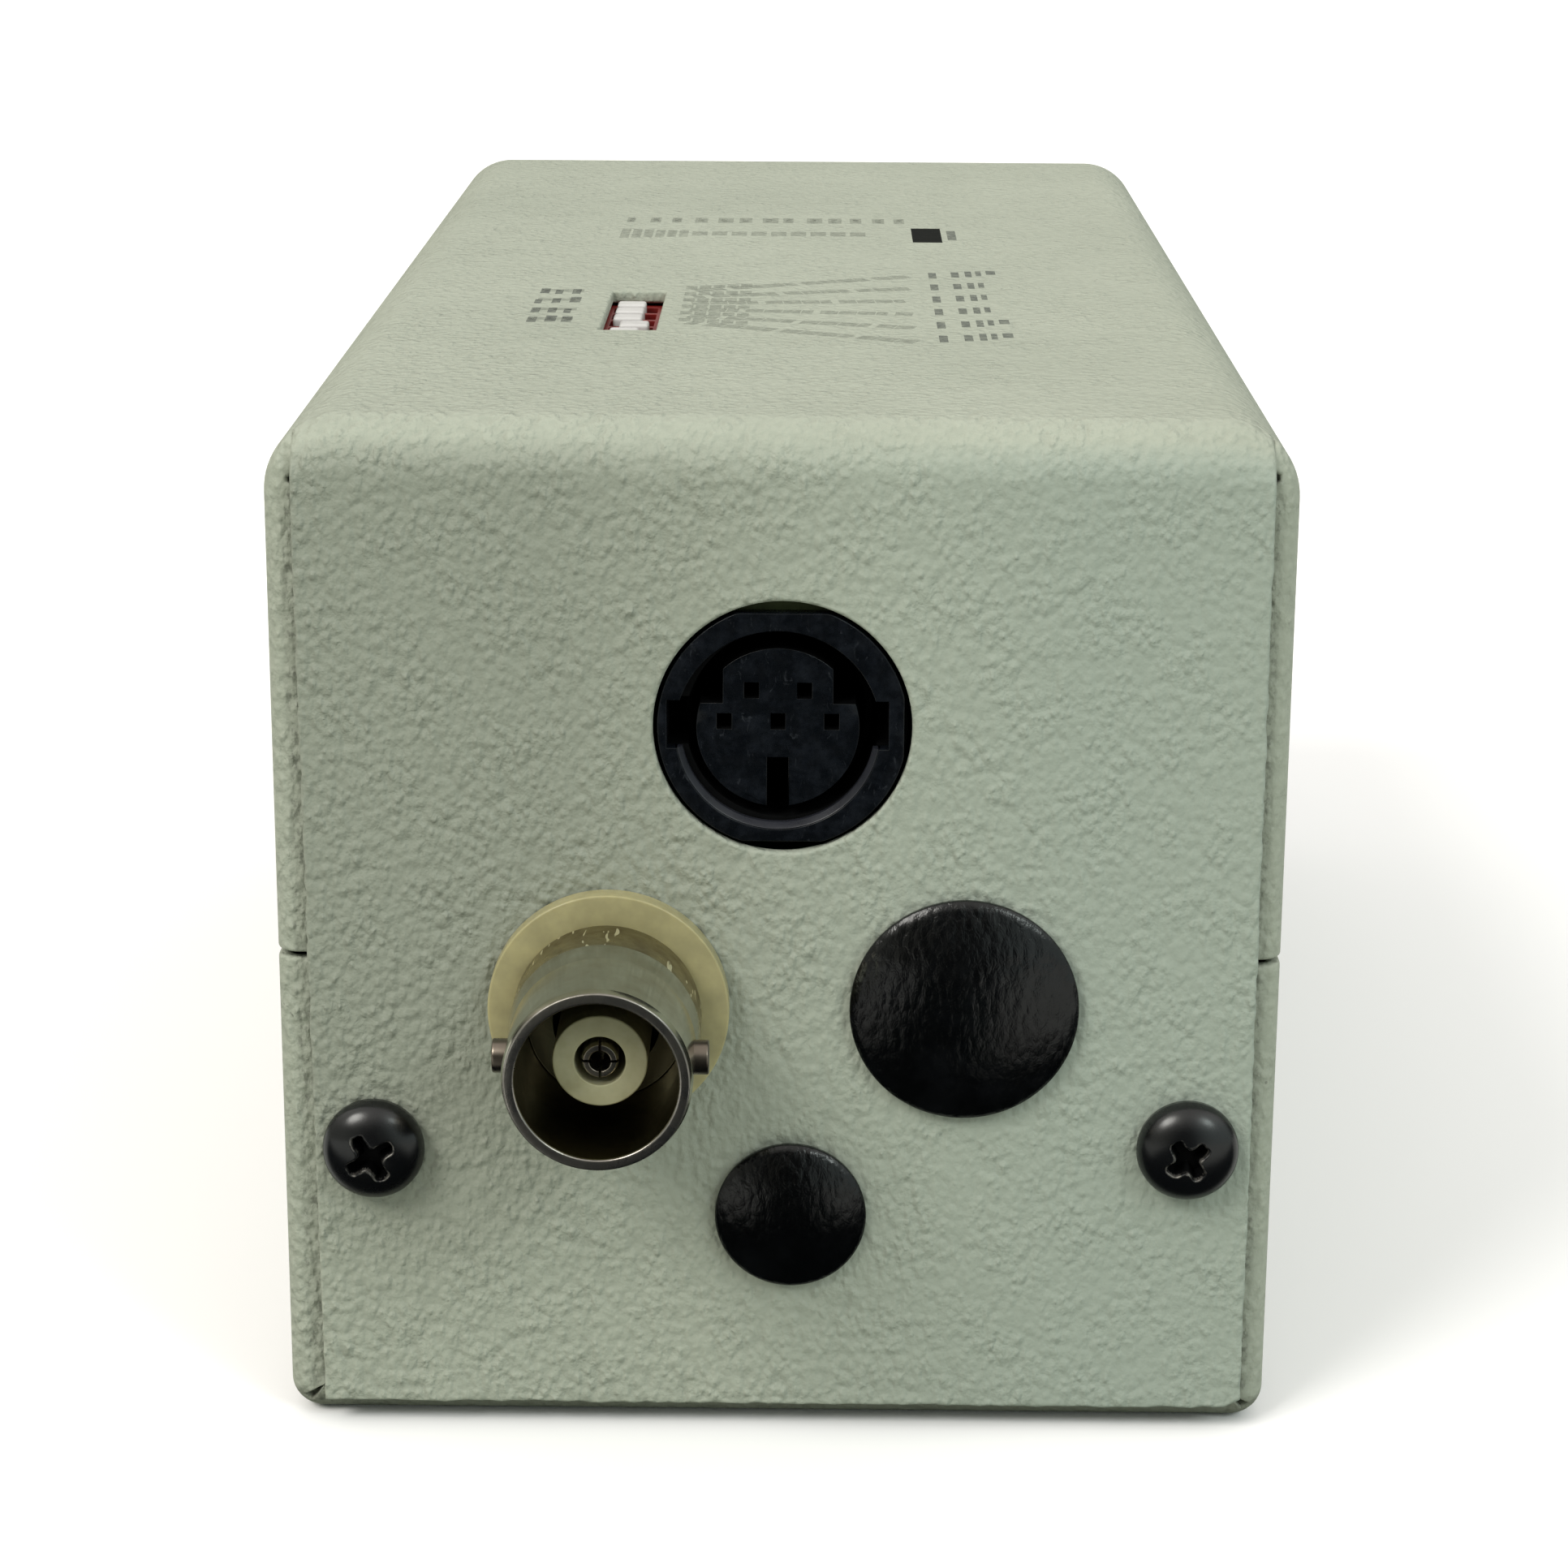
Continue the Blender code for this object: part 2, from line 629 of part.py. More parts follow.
def bnc_socket():
    """The video socket: shell, insulators, centre contact, nut and solder tag."""
    barrel = BNC_BARREL_RADIUS
    body_profile = [
        (4.1, 9.0),
        (4.1, -1.4),
        (4.97, -1.4),
        (4.97, -6.0),
        (barrel, -6.2),
        (barrel, 0.25 - BNC_OUT),
        (barrel - 0.18, -BNC_OUT),
        (4.35, -BNC_OUT),
        (4.15, 0.3 - BNC_OUT),
        (4.15, -3.0),
        (2.75, -3.0),
        (2.75, 9.0),
    ]
    body = turned("bnc_body", body_profile, BNC_CENTRE, nickel_brass, 32)
    x, z = BNC_CENTRE
    for side, start in (("left", x - BNC_LUG_TIP), ("right", x + 4.4)):
        lug = rod(f"bnc_lug_{side}", "x", 0.95, (start, BNC_LUG_Y, z), BNC_LUG_TIP - 4.4, sides=12)
        join(body, lug)
    flange_profile = [(4.95, 1.1), (4.95, -0.1), (6.35, -0.1), (6.35, -1.2), (6.25, -1.3)]
    flange_profile += [(4.4, -1.3), (4.4, 1.1)]
    turned("bnc_insulating_flange", flange_profile, BNC_CENTRE, cream_plastic, 28)
    face = BNC_CORE_FACE
    dielectric_profile = [(2.42, 9.6), (2.42, face + 0.1), (2.32, face), (1.3, face), (1.3, 9.6)]
    turned("bnc_dielectric", dielectric_profile, BNC_CENTRE, cream_plastic, 20)
    contact_profile = [(0, 12.0), (0.95, 12.0), (0.95, face + 0.3), (0.85, face + 0.1)]
    contact_profile += [(0.55, face + 0.1), (0.55, face + 5), (0, face + 5)]
    contact = turned("bnc_centre_contact", contact_profile, BNC_CENTRE, gold_plate, 12, closed=False)
    slot = box("bnc_contact_slot", (x - 1.5, face - 1, z - 0.1), (x + 1.5, face + 3, z + 0.1))
    cut(contact, slot)
    nut = rod("bnc_nut", "y", 6.35, (x, 2.6, z), 2.2, nickel_brass, 6, turn=radians(12))
    drill(nut, "bnc_nut_bore", "y", 4.4, (x, 2, z), 4, 16)
    tag = rod("bnc_solder_tag", "y", 6.3, (x, 1.6, z), 0.6, nickel_brass, 16)
    join(tag, box("bnc_tag_tail", (x - 1.4, 1.6, z + 5.0), (x + 1.4, 2.2, z + 9.5)))
    drill(tag, "bnc_tag_bore", "y", 4.4, (x, 1, z), 4, 16)


def din_socket():
    """The five-way control socket: moulded housing, keyed core and the metal shield between them."""
    x, z = DIN_CENTRE
    bx, bz = DIN_HOLE_CENTRE
    housing = rod("din_housing", "y", DIN_BEZEL_RADIUS, (bx, DIN_FACE, bz), 3.0, black_plastic, 40)
    flats = [
        box("din_flat_top", (bx - 9, -1, bz + DIN_BEZEL_TOP), (bx + 9, 1.15, bz + 9)),
        box("din_flat_bottom", (bx - 9, -1, bz - 9), (bx + 9, 1.15, bz - DIN_BEZEL_BOTTOM)),
        box("din_flat_right", (bx + DIN_BEZEL_SIDE, -1, bz - 9), (bx + 9, 1.15, bz + 9)),
    ]
    cut(housing, *flats)
    join(housing, box("din_block", (x - 7, 1.15, z - 6.8), (x + 7, 12.4, z + 6.4)))
    bore = [(0, 14), (DIN_BORE_RADIUS, 14), (DIN_BORE_RADIUS, DIN_FACE + 0.6)]
    bore += [(DIN_MOUTH_RADIUS, DIN_FACE), (DIN_MOUTH_RADIUS, -1), (0, -1)]
    cut(housing, turned("din_bore_cutter", bore, DIN_CENTRE, None, 32, closed=False))
    cut(housing, box("din_side_room", (x - 5.75, -1, z - 0.95), (x + 5.75, 6.0, z + 1.6)))

    core = rod("din_core", "y", DIN_CORE_RADIUS, (x, DIN_CORE_FACE, z), 9.0, black_plastic, 32)
    for side, sign in (("left", -1), ("right", 1)):
        ends = sorted((sign * 2.87, sign * 6))
        low = (x + ends[0], DIN_CORE_FACE - 1, z + 1.3)
        cut(core, box(f"din_step_{side}", low, (x + ends[1], 6.5, z + 6)))
    cut(core, box("din_key", (x - 0.6, 0, z - 6), (x + 0.6, 6.5, z - 1.5)))
    for index, (cx, cz) in enumerate(DIN_CONTACTS):
        hole = box(
            f"din_contact_{index}",
            (x + cx - 0.38, 0, z + cz - 0.42),
            (x + cx + 0.38, 7.0, z + cz + 0.42),
        )
        cut(core, hole)
    join(core, rod("din_core_base", "y", DIN_BORE_RADIUS - GAP, (x, 8.6, z), 3.8, sides=24))
    shield = rod("din_shield", "y", 4.95, (x, 4.6, z), 3.6, nickel_brass, 24)
    drill(shield, "din_shield_bore", "y", 4.6, (x, 3, z), 6, 24)
    cut(shield, box("din_shield_seam", (x - 0.5, 3, z - 6), (x + 0.5, 9, z - 4)))


def hole_plug(name, centre, radius, height):
    """A push-in blanking plug: a domed head on a hollow snap-in skirt."""
    rim = 0.5
    sagitta = height - rim
    sphere = (radius * radius + sagitta * sagitta) / (2 * sagitta)
    dome = []
    for step in range(4):
        r = radius * (1 - (step + 1) / 4)
        drop = sphere - (sphere * sphere - r * r) ** 0.5
        dome.append((r, -0.1 - height + drop))
    skirt = radius - 1.15
    profile = [
        (skirt - 0.9, 3.4),
        (skirt, 3.4),
        (skirt + 0.3, 1.7),
        (skirt, 1.2),
        (skirt, -0.1),
        (radius, -0.1),
        (radius, -0.1 - rim),
    ]
    inside = [(0, 0.9), (skirt - 0.9, 0.9)]
    return turned(name, inside + profile + dome, centre, plug_plastic, 24, closed=False)


# ---------------------------------------------------------------- switch


def slider_ys():
    first = SWITCH_MIDDLE_Y - SWITCH_PITCH * (SWITCH_WAYS - 1) / 2
    return [first + SWITCH_PITCH * way for way in range(SWITCH_WAYS)]


def dip_switch():
    """A six-way switch whose sliders show through the window in the top."""
    middle_x = (WINDOW_LEFT + WINDOW_RIGHT) / 2
    top = INNER_TOP - 0.2
    ys = slider_ys()
    body = box(
        "dip_switch_body",
        (middle_x - 3.3, ys[0] - 2.0, SWITCH_BOARD_Z + BOARD_THICKNESS + GAP),
        (middle_x + 3.3, ys[-1] + 2.0, top),
        red_plastic,
    )
    slider_top = CASE_HEIGHT - SLIDER_DEPTH_BELOW_TOP
    pocket_half = SLIDER_LENGTH / 2 + SLIDER_CLEARANCE
    for way, y in enumerate(ys, 1):
        pocket = box(
            f"dip_pocket_{way}",
            (SLIDER_LEFT - 0.2, y - pocket_half, top - 2.2),
            (SLIDER_LEFT + SLIDER_WIDTH + SLIDER_TRAVEL + 0.2, y + pocket_half, top + 1),
        )
        cut(body, pocket)
        left = SLIDER_LEFT + (SLIDER_TRAVEL if way in SLIDERS_ON else 0)
        slider = box(
            f"dip_slider_{way}",
            (left, y - SLIDER_LENGTH / 2, top - 2.0),
            (left + SLIDER_WIDTH, y + SLIDER_LENGTH / 2, slider_top),
            white_plastic,
        )
        rounding = slider.modifiers.new("soft_edges", "BEVEL")
        rounding.width = 0.15 * MM
        rounding.segments = 2


# ---------------------------------------------------------------- nose and sensor


def mount_barrel():
    """The C-mount barrel, which moves along the optical axis to set the focus."""
    front = CASE_LENGTH + NOSE_OUT
    back = front - BARREL_LENGTH
    profile = [
        (C_MOUNT_RADIUS + 0.6, front),
        (BARREL_RADIUS - 0.3, front),
        (BARREL_RADIUS, front - 0.3),
        (BARREL_RADIUS, back),
        (C_MOUNT_RADIUS, back),
        (C_MOUNT_RADIUS, front - 0.6),
    ]
    return turned("mount_barrel", profile, (0, AXIS_Z), black_aluminium, 40)


def focus_ring():
    """The knurled ring that turns in the front plate and drives the barrel."""
    recess = PLATE_FRONT - PLATE_THICKNESS + 1.0
    front = CASE_LENGTH + 2.3
    flange_front = recess + GAP + 1.0
    profile = [
        (BARREL_RADIUS + GAP, front),
        (RING_RADIUS - 0.4, front),
        (RING_RADIUS, front - 0.4),
        (RING_RADIUS, flange_front),
        (RING_FLANGE_RADIUS, flange_front),
        (RING_FLANGE_RADIUS, recess + GAP),
        (BARREL_RADIUS + GAP, recess + GAP),
    ]
    ring = turned("focus_ring", profile, (0, AXIS_Z), black_aluminium, 48)
    knurls = []
    for index in range(KNURL_COUNT):
        angle = 2 * pi * (index + 0.5) / KNURL_COUNT
        groove = (RING_RADIUS * cos(angle), CASE_LENGTH + 0.2, AXIS_Z + RING_RADIUS * sin(angle))
        knurls.append(rod(f"knurl_{index}", "y", 0.32, groove, 4, sides=4, turn=-angle))
    tool = joined("knurl_tool", knurls)
    return cut(ring, tool)


def joined(name, objects):
    """Separate cutters made one object, so that one Boolean cuts them all."""
    bm = bmesh.new()
    for obj in objects:
        bm.from_mesh(obj.data)
        bpy.data.objects.remove(obj, do_unlink=True)
    return mesh_object(name, bm)


def ring_retainer():
    """A sprung ring in the front plate's recess, over the focus ring's flange."""
    flange_front = PLATE_FRONT - PLATE_THICKNESS + 2.0 + GAP
    inner = RING_RADIUS + GAP
    profile = [
        (RING_FLANGE_RADIUS, flange_front + GAP + 0.7),
        (RING_FLANGE_RADIUS, flange_front + GAP),
        (inner, flange_front + GAP),
        (inner, flange_front + GAP + 0.7),
    ]
    ring = turned("ring_retainer", profile, (0, AXIS_Z), zinc_steel, 32)
    gap_box = box(
        "retainer_gap",
        (-1.5, flange_front, AXIS_Z - RING_FLANGE_RADIUS - 2),
        (1.5, flange_front + 3, AXIS_Z - inner + 2),
    )
    return cut(ring, gap_box)


def lock_screw():
    """The slotted screw beside the ring that locks the focus."""
    x, z = LOCK_SCREW_CENTRE
    profile = [
        (0, PLATE_FRONT + 1.5),
        (1.7, PLATE_FRONT + 1.5),
        (2.0, PLATE_FRONT + 1.2),
        (2.0, PLATE_FRONT + 0.1),
        (1.0, PLATE_FRONT + 0.1),
        (1.0, PLATE_FRONT - 5.0),
        (0, PLATE_FRONT - 5.0),
    ]
    screw = turned("lock_screw", profile, LOCK_SCREW_CENTRE, black_steel, 16, closed=False)
    front = PLATE_FRONT + 1.5
    return cut(screw, box("lock_screw_slot", (x - 3, front - 0.7, z - 0.25), (x + 3, front + 1, z + 0.25)))


def sensor_chamber():
    """The sealed cup that carries the window and keeps the sensor dry."""
    profile = [
        (14.2, CHAMBER_END),
        (19.5, CHAMBER_END),
        (19.5, CHAMBER_START),
        (9.8, CHAMBER_START),
        (9.8, WINDOW_SEAT),
        (14.2, WINDOW_SEAT),
    ]
    turned("sensor_chamber", profile, (0, AXIS_Z), black_aluminium, 28)
    seal_middle = WINDOW_SEAT + 0.75
    seal = [(11.7 + 0.55 * cos(a), seal_middle + 0.55 * sin(a)) for a in circle_angles(6)]
    turned("window_seal", seal[::-1], (0, AXIS_Z), seal_rubber, 24)
    window_start = seal_middle + 0.75
    rod("sensor_window", "y", 13.4, (0, window_start, AXIS_Z), 1.0, glass, 32)
    holder = rod("window_retainer", "y", 13.8, (0, window_start + 1.3, AXIS_Z), 0.8, black_aluminium, 32)
    drill(holder, "retainer_bore", "y", 11.8, (0, window_start, AXIS_Z), 4, 32)


def circle_angles(count):
    return [2 * pi * index / count for index in range(count)]


def around_axis(name, half_x, half_z, start, end, kind=None):
    """A box centred on the optical axis."""
    low = (-half_x, start, AXIS_Z - half_z)
    return box(name, low, (half_x, end, AXIS_Z + half_z), kind)


def sensor_and_cooler():
    """From the front: sensor, its board, the cold finger through it, the cooler and the spreader."""
    around_axis("ccd_sensor", 7.0, 6.0, SENSOR_Y - 2.6, SENSOR_Y, sensor_ceramic)
    board_start = SENSOR_Y - 5.0
    board = around_axis("sensor_board", 17.0, 17.0, board_start, board_start + 1.6, board_green)
    cut(board, around_axis("finger_slot", 4.6, 4.6, board_start - 1, board_start + 3))
    cooler_end = SPREADER_START + SPREADER_THICKNESS + GAP + 3.6
    finger = around_axis(
        "cold_finger", 4.2, 4.2, cooler_end + GAP + 1.6, SENSOR_Y - 2.6 - GAP, copper
    )
    base = around_axis("cold_finger_base", 10.0, 10.0, cooler_end + GAP, cooler_end + GAP + 2.0)
    join(finger, base)
    around_axis("peltier_module", 10.0, 10.0, cooler_end - 3.6, cooler_end, white_ceramic)
    spreader = inner_plate("heat_spreader", GAP, SPREADER_START, SPREADER_THICKNESS, bare_aluminium)
    start = SPREADER_START
    cut(spreader, box("ribbon_notch", (-8, start - 1, 44.5), (8, start + 8, CASE_HEIGHT)))
    tapped_holes(spreader, "spreader", SPREADER_MIDDLE, LOWER_SCREW_Z)


# ---------------------------------------------------------------- electronics


def boards():
    top = SWITCH_BOARD_Z + BOARD_THICKNESS
    switch_board = box("switch_board", (-22, 9, SWITCH_BOARD_Z), (22, 71, top), board_green)
    for x, y in pillar_places():
        drill(switch_board, f"board_hole_{x:.0f}_{y:.0f}", "z", 1.6, (x, y, SWITCH_BOARD_Z - 1), 4, 12)
    box("rear_board", (-20, 13.0, 9.0), (20, 14.6, SWITCH_BOARD_Z - GAP), board_green)
    box("video_board", (-21, 71.8, 6.0), (21, 73.4, 43.5), board_green)
    box("timing_chip", (2.0, 48.0, top + GAP), (9.6, 66.0, top + 3.6), black_plastic)
    rod("filter_capacitor", "y", 4.0, (9.0, 59.5, 20.0), 12.0, black_aluminium, 24)


def pillar_places():
    return [(sign * PILLAR_X, y) for y in PILLAR_YS for sign in (-1, 1)]


def pillars():
    """Hexagonal posts from the floor to the switch board, with a screw in each."""
    bottom = SHEET + GAP
    top = SWITCH_BOARD_Z - GAP
    screw_seat = SWITCH_BOARD_Z + BOARD_THICKNESS + 0.1
    for index, (x, y) in enumerate(pillar_places(), 1):
        pillar = rod(f"pillar_{index}", "z", 3.1, (x, y, bottom), top - bottom, zinc_steel, 6)
        drill(pillar, f"pillar_bore_{index}", "z", 1.6, (x, y, top - 7), 10, 12)
        profile = [
            (0, screw_seat + 1.6),
            (2.0, screw_seat + 1.4),
            (2.7, screw_seat + 0.8),
            (2.7, screw_seat),
            (1.25, screw_seat),
            (1.25, top - 6),
            (0, top - 6),
        ]
        screw = turned(f"pillar_screw_{index}", profile, (0, 0), zinc_steel, 12, closed=False)
        stand_up(screw, (x, y, 0))


def ribbon_cable():
    """The flat lead from the sensor's board, over the spreader, to the video board."""
    front = SENSOR_Y - 5.0 - GAP
    back = 73.4 + GAP
    thick = 0.4
    low = AXIS_Z + 10.0
    high = 47.0
    outline = [
        (front, low),
        (front, high),
        (back, high),
        (back, 38.0),
        (back + thick, 38.0),
        (back + thick, high - thick),
        (front - thick, high - thick),
        (front - thick, low),
    ]
    return prism("ribbon_cable", outline, "x", -6, 6, ribbon_grey)


# ---------------------------------------------------------------- assembly

top_cover()
bottom_tray()
tripod_bush()
front_plate()
side_screws()
for side, centre in REAR_SCREW_CENTRES.items():
    rear_screw(side, centre, REAR_SCREW_TURN[side])
    clinch_nut(side, centre)
bnc_socket()
din_socket()
hole_plug("large_hole_plug", LARGE_PLUG_CENTRE, LARGE_PLUG_RADIUS, 1.7)
hole_plug("small_hole_plug", SMALL_PLUG_CENTRE, SMALL_PLUG_RADIUS, 1.4)
dip_switch()
mount_barrel()
focus_ring()
ring_retainer()
lock_screw()
sensor_chamber()
sensor_and_cooler()
boards()
pillars()
ribbon_cable()
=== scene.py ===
"""Looks for the cooled astronomy camera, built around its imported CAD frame.

Sizes are millimetres in the case frame: x = 0 in the middle, y = 0 on the outer face of the rear
panel and growing towards the lens, z = 0 on the underside. Meshes are turned into metres as they
are finished. Where a material reads the x, y or z of a point, its limits are metres.
"""

import math

import bmesh
import bpy
from mathutils import Matrix, Vector, noise


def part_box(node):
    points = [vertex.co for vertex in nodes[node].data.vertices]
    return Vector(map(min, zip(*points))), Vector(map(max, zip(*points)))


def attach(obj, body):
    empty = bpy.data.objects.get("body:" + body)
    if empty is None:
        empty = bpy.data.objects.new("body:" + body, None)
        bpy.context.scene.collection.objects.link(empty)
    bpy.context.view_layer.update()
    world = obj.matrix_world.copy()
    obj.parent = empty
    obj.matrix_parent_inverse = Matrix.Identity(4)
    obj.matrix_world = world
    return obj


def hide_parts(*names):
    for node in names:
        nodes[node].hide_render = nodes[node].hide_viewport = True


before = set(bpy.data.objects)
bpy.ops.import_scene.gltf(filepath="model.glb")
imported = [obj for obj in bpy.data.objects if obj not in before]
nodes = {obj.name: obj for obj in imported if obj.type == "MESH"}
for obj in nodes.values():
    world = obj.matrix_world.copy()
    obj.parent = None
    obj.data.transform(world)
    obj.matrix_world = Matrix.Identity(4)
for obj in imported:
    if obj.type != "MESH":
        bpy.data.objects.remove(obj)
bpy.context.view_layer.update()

MM = 0.001
REAR_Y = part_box("top_cover")[0].y / MM

WIDTH = 53.2
HEIGHT = 55.394
LENGTH = 113.5
SHEET = 0.8
SHEET_RIM = 0.2
TOP_RADIUS = 4.0
BOTTOM_RADIUS = 1.9
PANEL_BEND = 3.0
LIP_BEND = 1.2
FLOOR_LIP_BEND = 1.9
LIP_FACE = 1.0
LIP_DEPTH = 2.9
SEAM_TOP = 26.75
SEAM_BOTTOM = 26.45
PANEL_LEFT = -25.0
PANEL_RIGHT = 25.15
PANEL_SKEW = 0.35
PANEL_BOTTOM = 1.4
PANEL_RELIEF_Z = 49.5
DROOP_FADE = 16
# Side, panel edge, and the width, lower end and upper end of the relief hole in its corner.
CORNER_HOLES = ((-1, PANEL_LEFT, 0.24, 52.4, 53.05), (1, PANEL_RIGHT, 0.5, 52.85, 53.6))
MITRE_WIDE = 0.46
MITRE_NARROW = 0.3

REAR_SCREW_HOLE = 1.65
SIDE_SCREW_HOLE = 1.5
SIDE_SCREW_Y = LENGTH - 2.3
SPREADER_SCREW_Y = 81.0
UPPER_SCREW_Z = 41.3
LOWER_SCREW_Z = 14.3
WINDOW = (-10.9, 29.7, -7.65, 44.8)
BUSH_Y = 57

DIN_HOLE = (0.15, 39.5)
DIN_HOLE_RADIUS = 6.72
DIN = (-0.1, 39.3)
DIN_NOTCH = 5.75
DIN_NOTCH_LOW = -0.95
DIN_NOTCH_HIGH = 1.6
DIN_MOUTH = 5.3
DIN_WAYS = ((-1.37, 1.98), (1.37, 1.98), (-2.79, 0.33), (0, 0.33), (2.79, 0.33))

BNC = (-8.9, 24.4)
BNC_HOLE = 5.3
LUG_Y = -8.1

# The middle of each hole plug, then its cap's radius and height.
LARGE_PLUG = (9.8, 24.35)
LARGE_PLUG_SIZE = (6.05, 1.7)
SMALL_PLUG = (0.72, 12.67)
SMALL_PLUG_SIZE = (4.05, 1.4)
PLUG_HOLE_STEP = 0.8

# x, z, turn of the recess in degrees, reach of its wings.
REAR_SCREWS = {"left": (-21.5, 16.3, 33, 1.42), "right": (21.8, 16.6, 38, 1.25)}
HEAD_SPHERE = 2.7
HEAD_RIM_Y = -0.62
HEAD_DOME = 1.38
RECESS_AREA = 1.85
RECESS_OFF_CENTRE = (0.08, 0.1)
WING_HALF = 0.42
WING_ROUND = 0.3
WING_BLEND = 0.3
RECESS_DEPTH = 1.15
RECESS_SLOPE = 7

AXIS_Z = 27.7
NOSE_END = 117.0
RING_RADIUS = 17.8
KNURL_DEPTH = 0.42
KNURL_TEETH = 90
BARREL_BACK = 106.5
MOUNT_THREAD_PITCH = 0.794
TRIPOD_THREAD_PITCH = 1.27
SENSOR_FACE_Y = 99.524

FILLET_STEPS = 4
PRINT_LIFT = 0.004
PRINT_SINK = 0.05

scene = bpy.context.scene
made = []


# ---------------------------------------------------------------- material helpers


def darker(colour, by=0.8):
    return tuple(by * c for c in colour)


class Graph:
    """Short calls for building one material's nodes."""

    def __init__(self, name):
        self.material = bpy.data.materials.new(name)
        self.material.use_nodes = True
        self.tree = self.material.node_tree
        self.shader = self.tree.nodes["Principled BSDF"]

    def node(self, kind, **settings):
        made = self.tree.nodes.new(kind)
        for key, value in settings.items():
            setattr(made, key, value)
        return made

    def link(self, source, target):
        self.tree.links.new(source, target)

    def place(self, scale=(1, 1, 1)):
        coordinates = self.node("ShaderNodeTexCoord")
        mapping = self.node("ShaderNodeMapping")
        mapping.inputs["Scale"].default_value = scale
        self.link(coordinates.outputs["Object"], mapping.inputs["Vector"])
        return mapping.outputs["Vector"]

    def position(self):
        """The x, y and z of the shaded point, in metres."""
        split = self.node("ShaderNodeSeparateXYZ")
        self.link(self.place(), split.inputs[0])
        return split.outputs

    def noise(self, size_mm, detail=2.0, rough=0.5, stretch=(1, 1, 1), distortion=0.0):
        """A noise field whose features are about size_mm across."""
        made = self.node("ShaderNodeTexNoise")
        made.inputs["Scale"].default_value = 1 / (size_mm * MM)
        made.inputs["Detail"].default_value = detail
        made.inputs["Roughness"].default_value = rough
        made.inputs["Distortion"].default_value = distortion
        self.link(self.place(stretch), made.inputs["Vector"])
        return made.outputs["Fac"]

    def cells(self, size_mm, stretch, smooth=None):
        """Distance to the nearest middle of cells about size_mm across."""
        feature = "F1" if smooth is None else "SMOOTH_F1"
        made = self.node("ShaderNodeTexVoronoi", feature=feature)
        made.inputs["Scale"].default_value = 1 / (size_mm * MM)
        if smooth is not None:
            made.inputs["Smoothness"].default_value = smooth
        self.link(self.place(stretch), made.inputs["Vector"])
        return made.outputs["Distance"]

    def math(self, operation, a, b=None):
        made = self.node("ShaderNodeMath", operation=operation)
        for socket, value in zip(made.inputs, (a, b)):
            if isinstance(value, (int, float)):
                socket.default_value = value
            elif value is not None:
                self.link(value, socket)
        return made.outputs[0]

    def times(self, a, b):
        return self.math("MULTIPLY", a, b)

    def plus(self, a, b):
        return self.math("ADD", a, b)

    def ramp(self, value, low, high, out_low=0.0, out_high=1.0):
        """out_low up to low, out_high from high on, and a straight line between."""
        made = self.node("ShaderNodeMapRange")
        made.inputs["From Min"].default_value = low
        made.inputs["From Max"].default_value = high
        made.inputs["To Min"].default_value = out_low
        made.inputs["To Max"].default_value = out_high
        self.link(value, made.inputs["Value"])
        return made.outputs["Result"]

    def mix(self, factor, first, second):
        made = self.node("ShaderNodeMix", data_type="RGBA")
        self.link(factor, made.inputs["Factor"])
        for socket, value in ((made.inputs[6], first), (made.inputs[7], second)):
            if isinstance(value, tuple):
                socket.default_value = (*value, 1)
            else:
                self.link(value, socket)
        return made.outputs[2]

    def bump(self, height, depth_mm, strength=1.0):
        made = self.node("ShaderNodeBump")
        made.inputs["Strength"].default_value = strength
        made.inputs["Distance"].default_value = depth_mm * MM
        self.link(height, made.inputs["Height"])
        return made.outputs["Normal"]

    def set(self, **values):
        """Constants or links on the shader, with underscores for the socket names' spaces."""
        for key, value in values.items():
            socket = self.shader.inputs[key.replace("_", " ")]
            if hasattr(value, "is_linked"):
                self.link(value, socket)
            elif socket.type == "RGBA":
                socket.default_value = (*value, 1)
            else:
                socket.default_value = value
        return self.material


# ---------------------------------------------------------------- materials


PINHOLE = (0.1, 0.105, 0.09)
# A cool tint painted on the rear panel's right, standing in for the light from the right.
RIGHT_LIGHT_TINT = (0.322, 0.363, 0.311)
# Dirt and painted shade for the joints beside the rear panel.
JOINT_DIRT_AND_SHADE = (0.07, 0.073, 0.058)
# Painted shade for the lip under the rear panel.
UNDERSIDE_SHADE = (0.07, 0.066, 0.045)


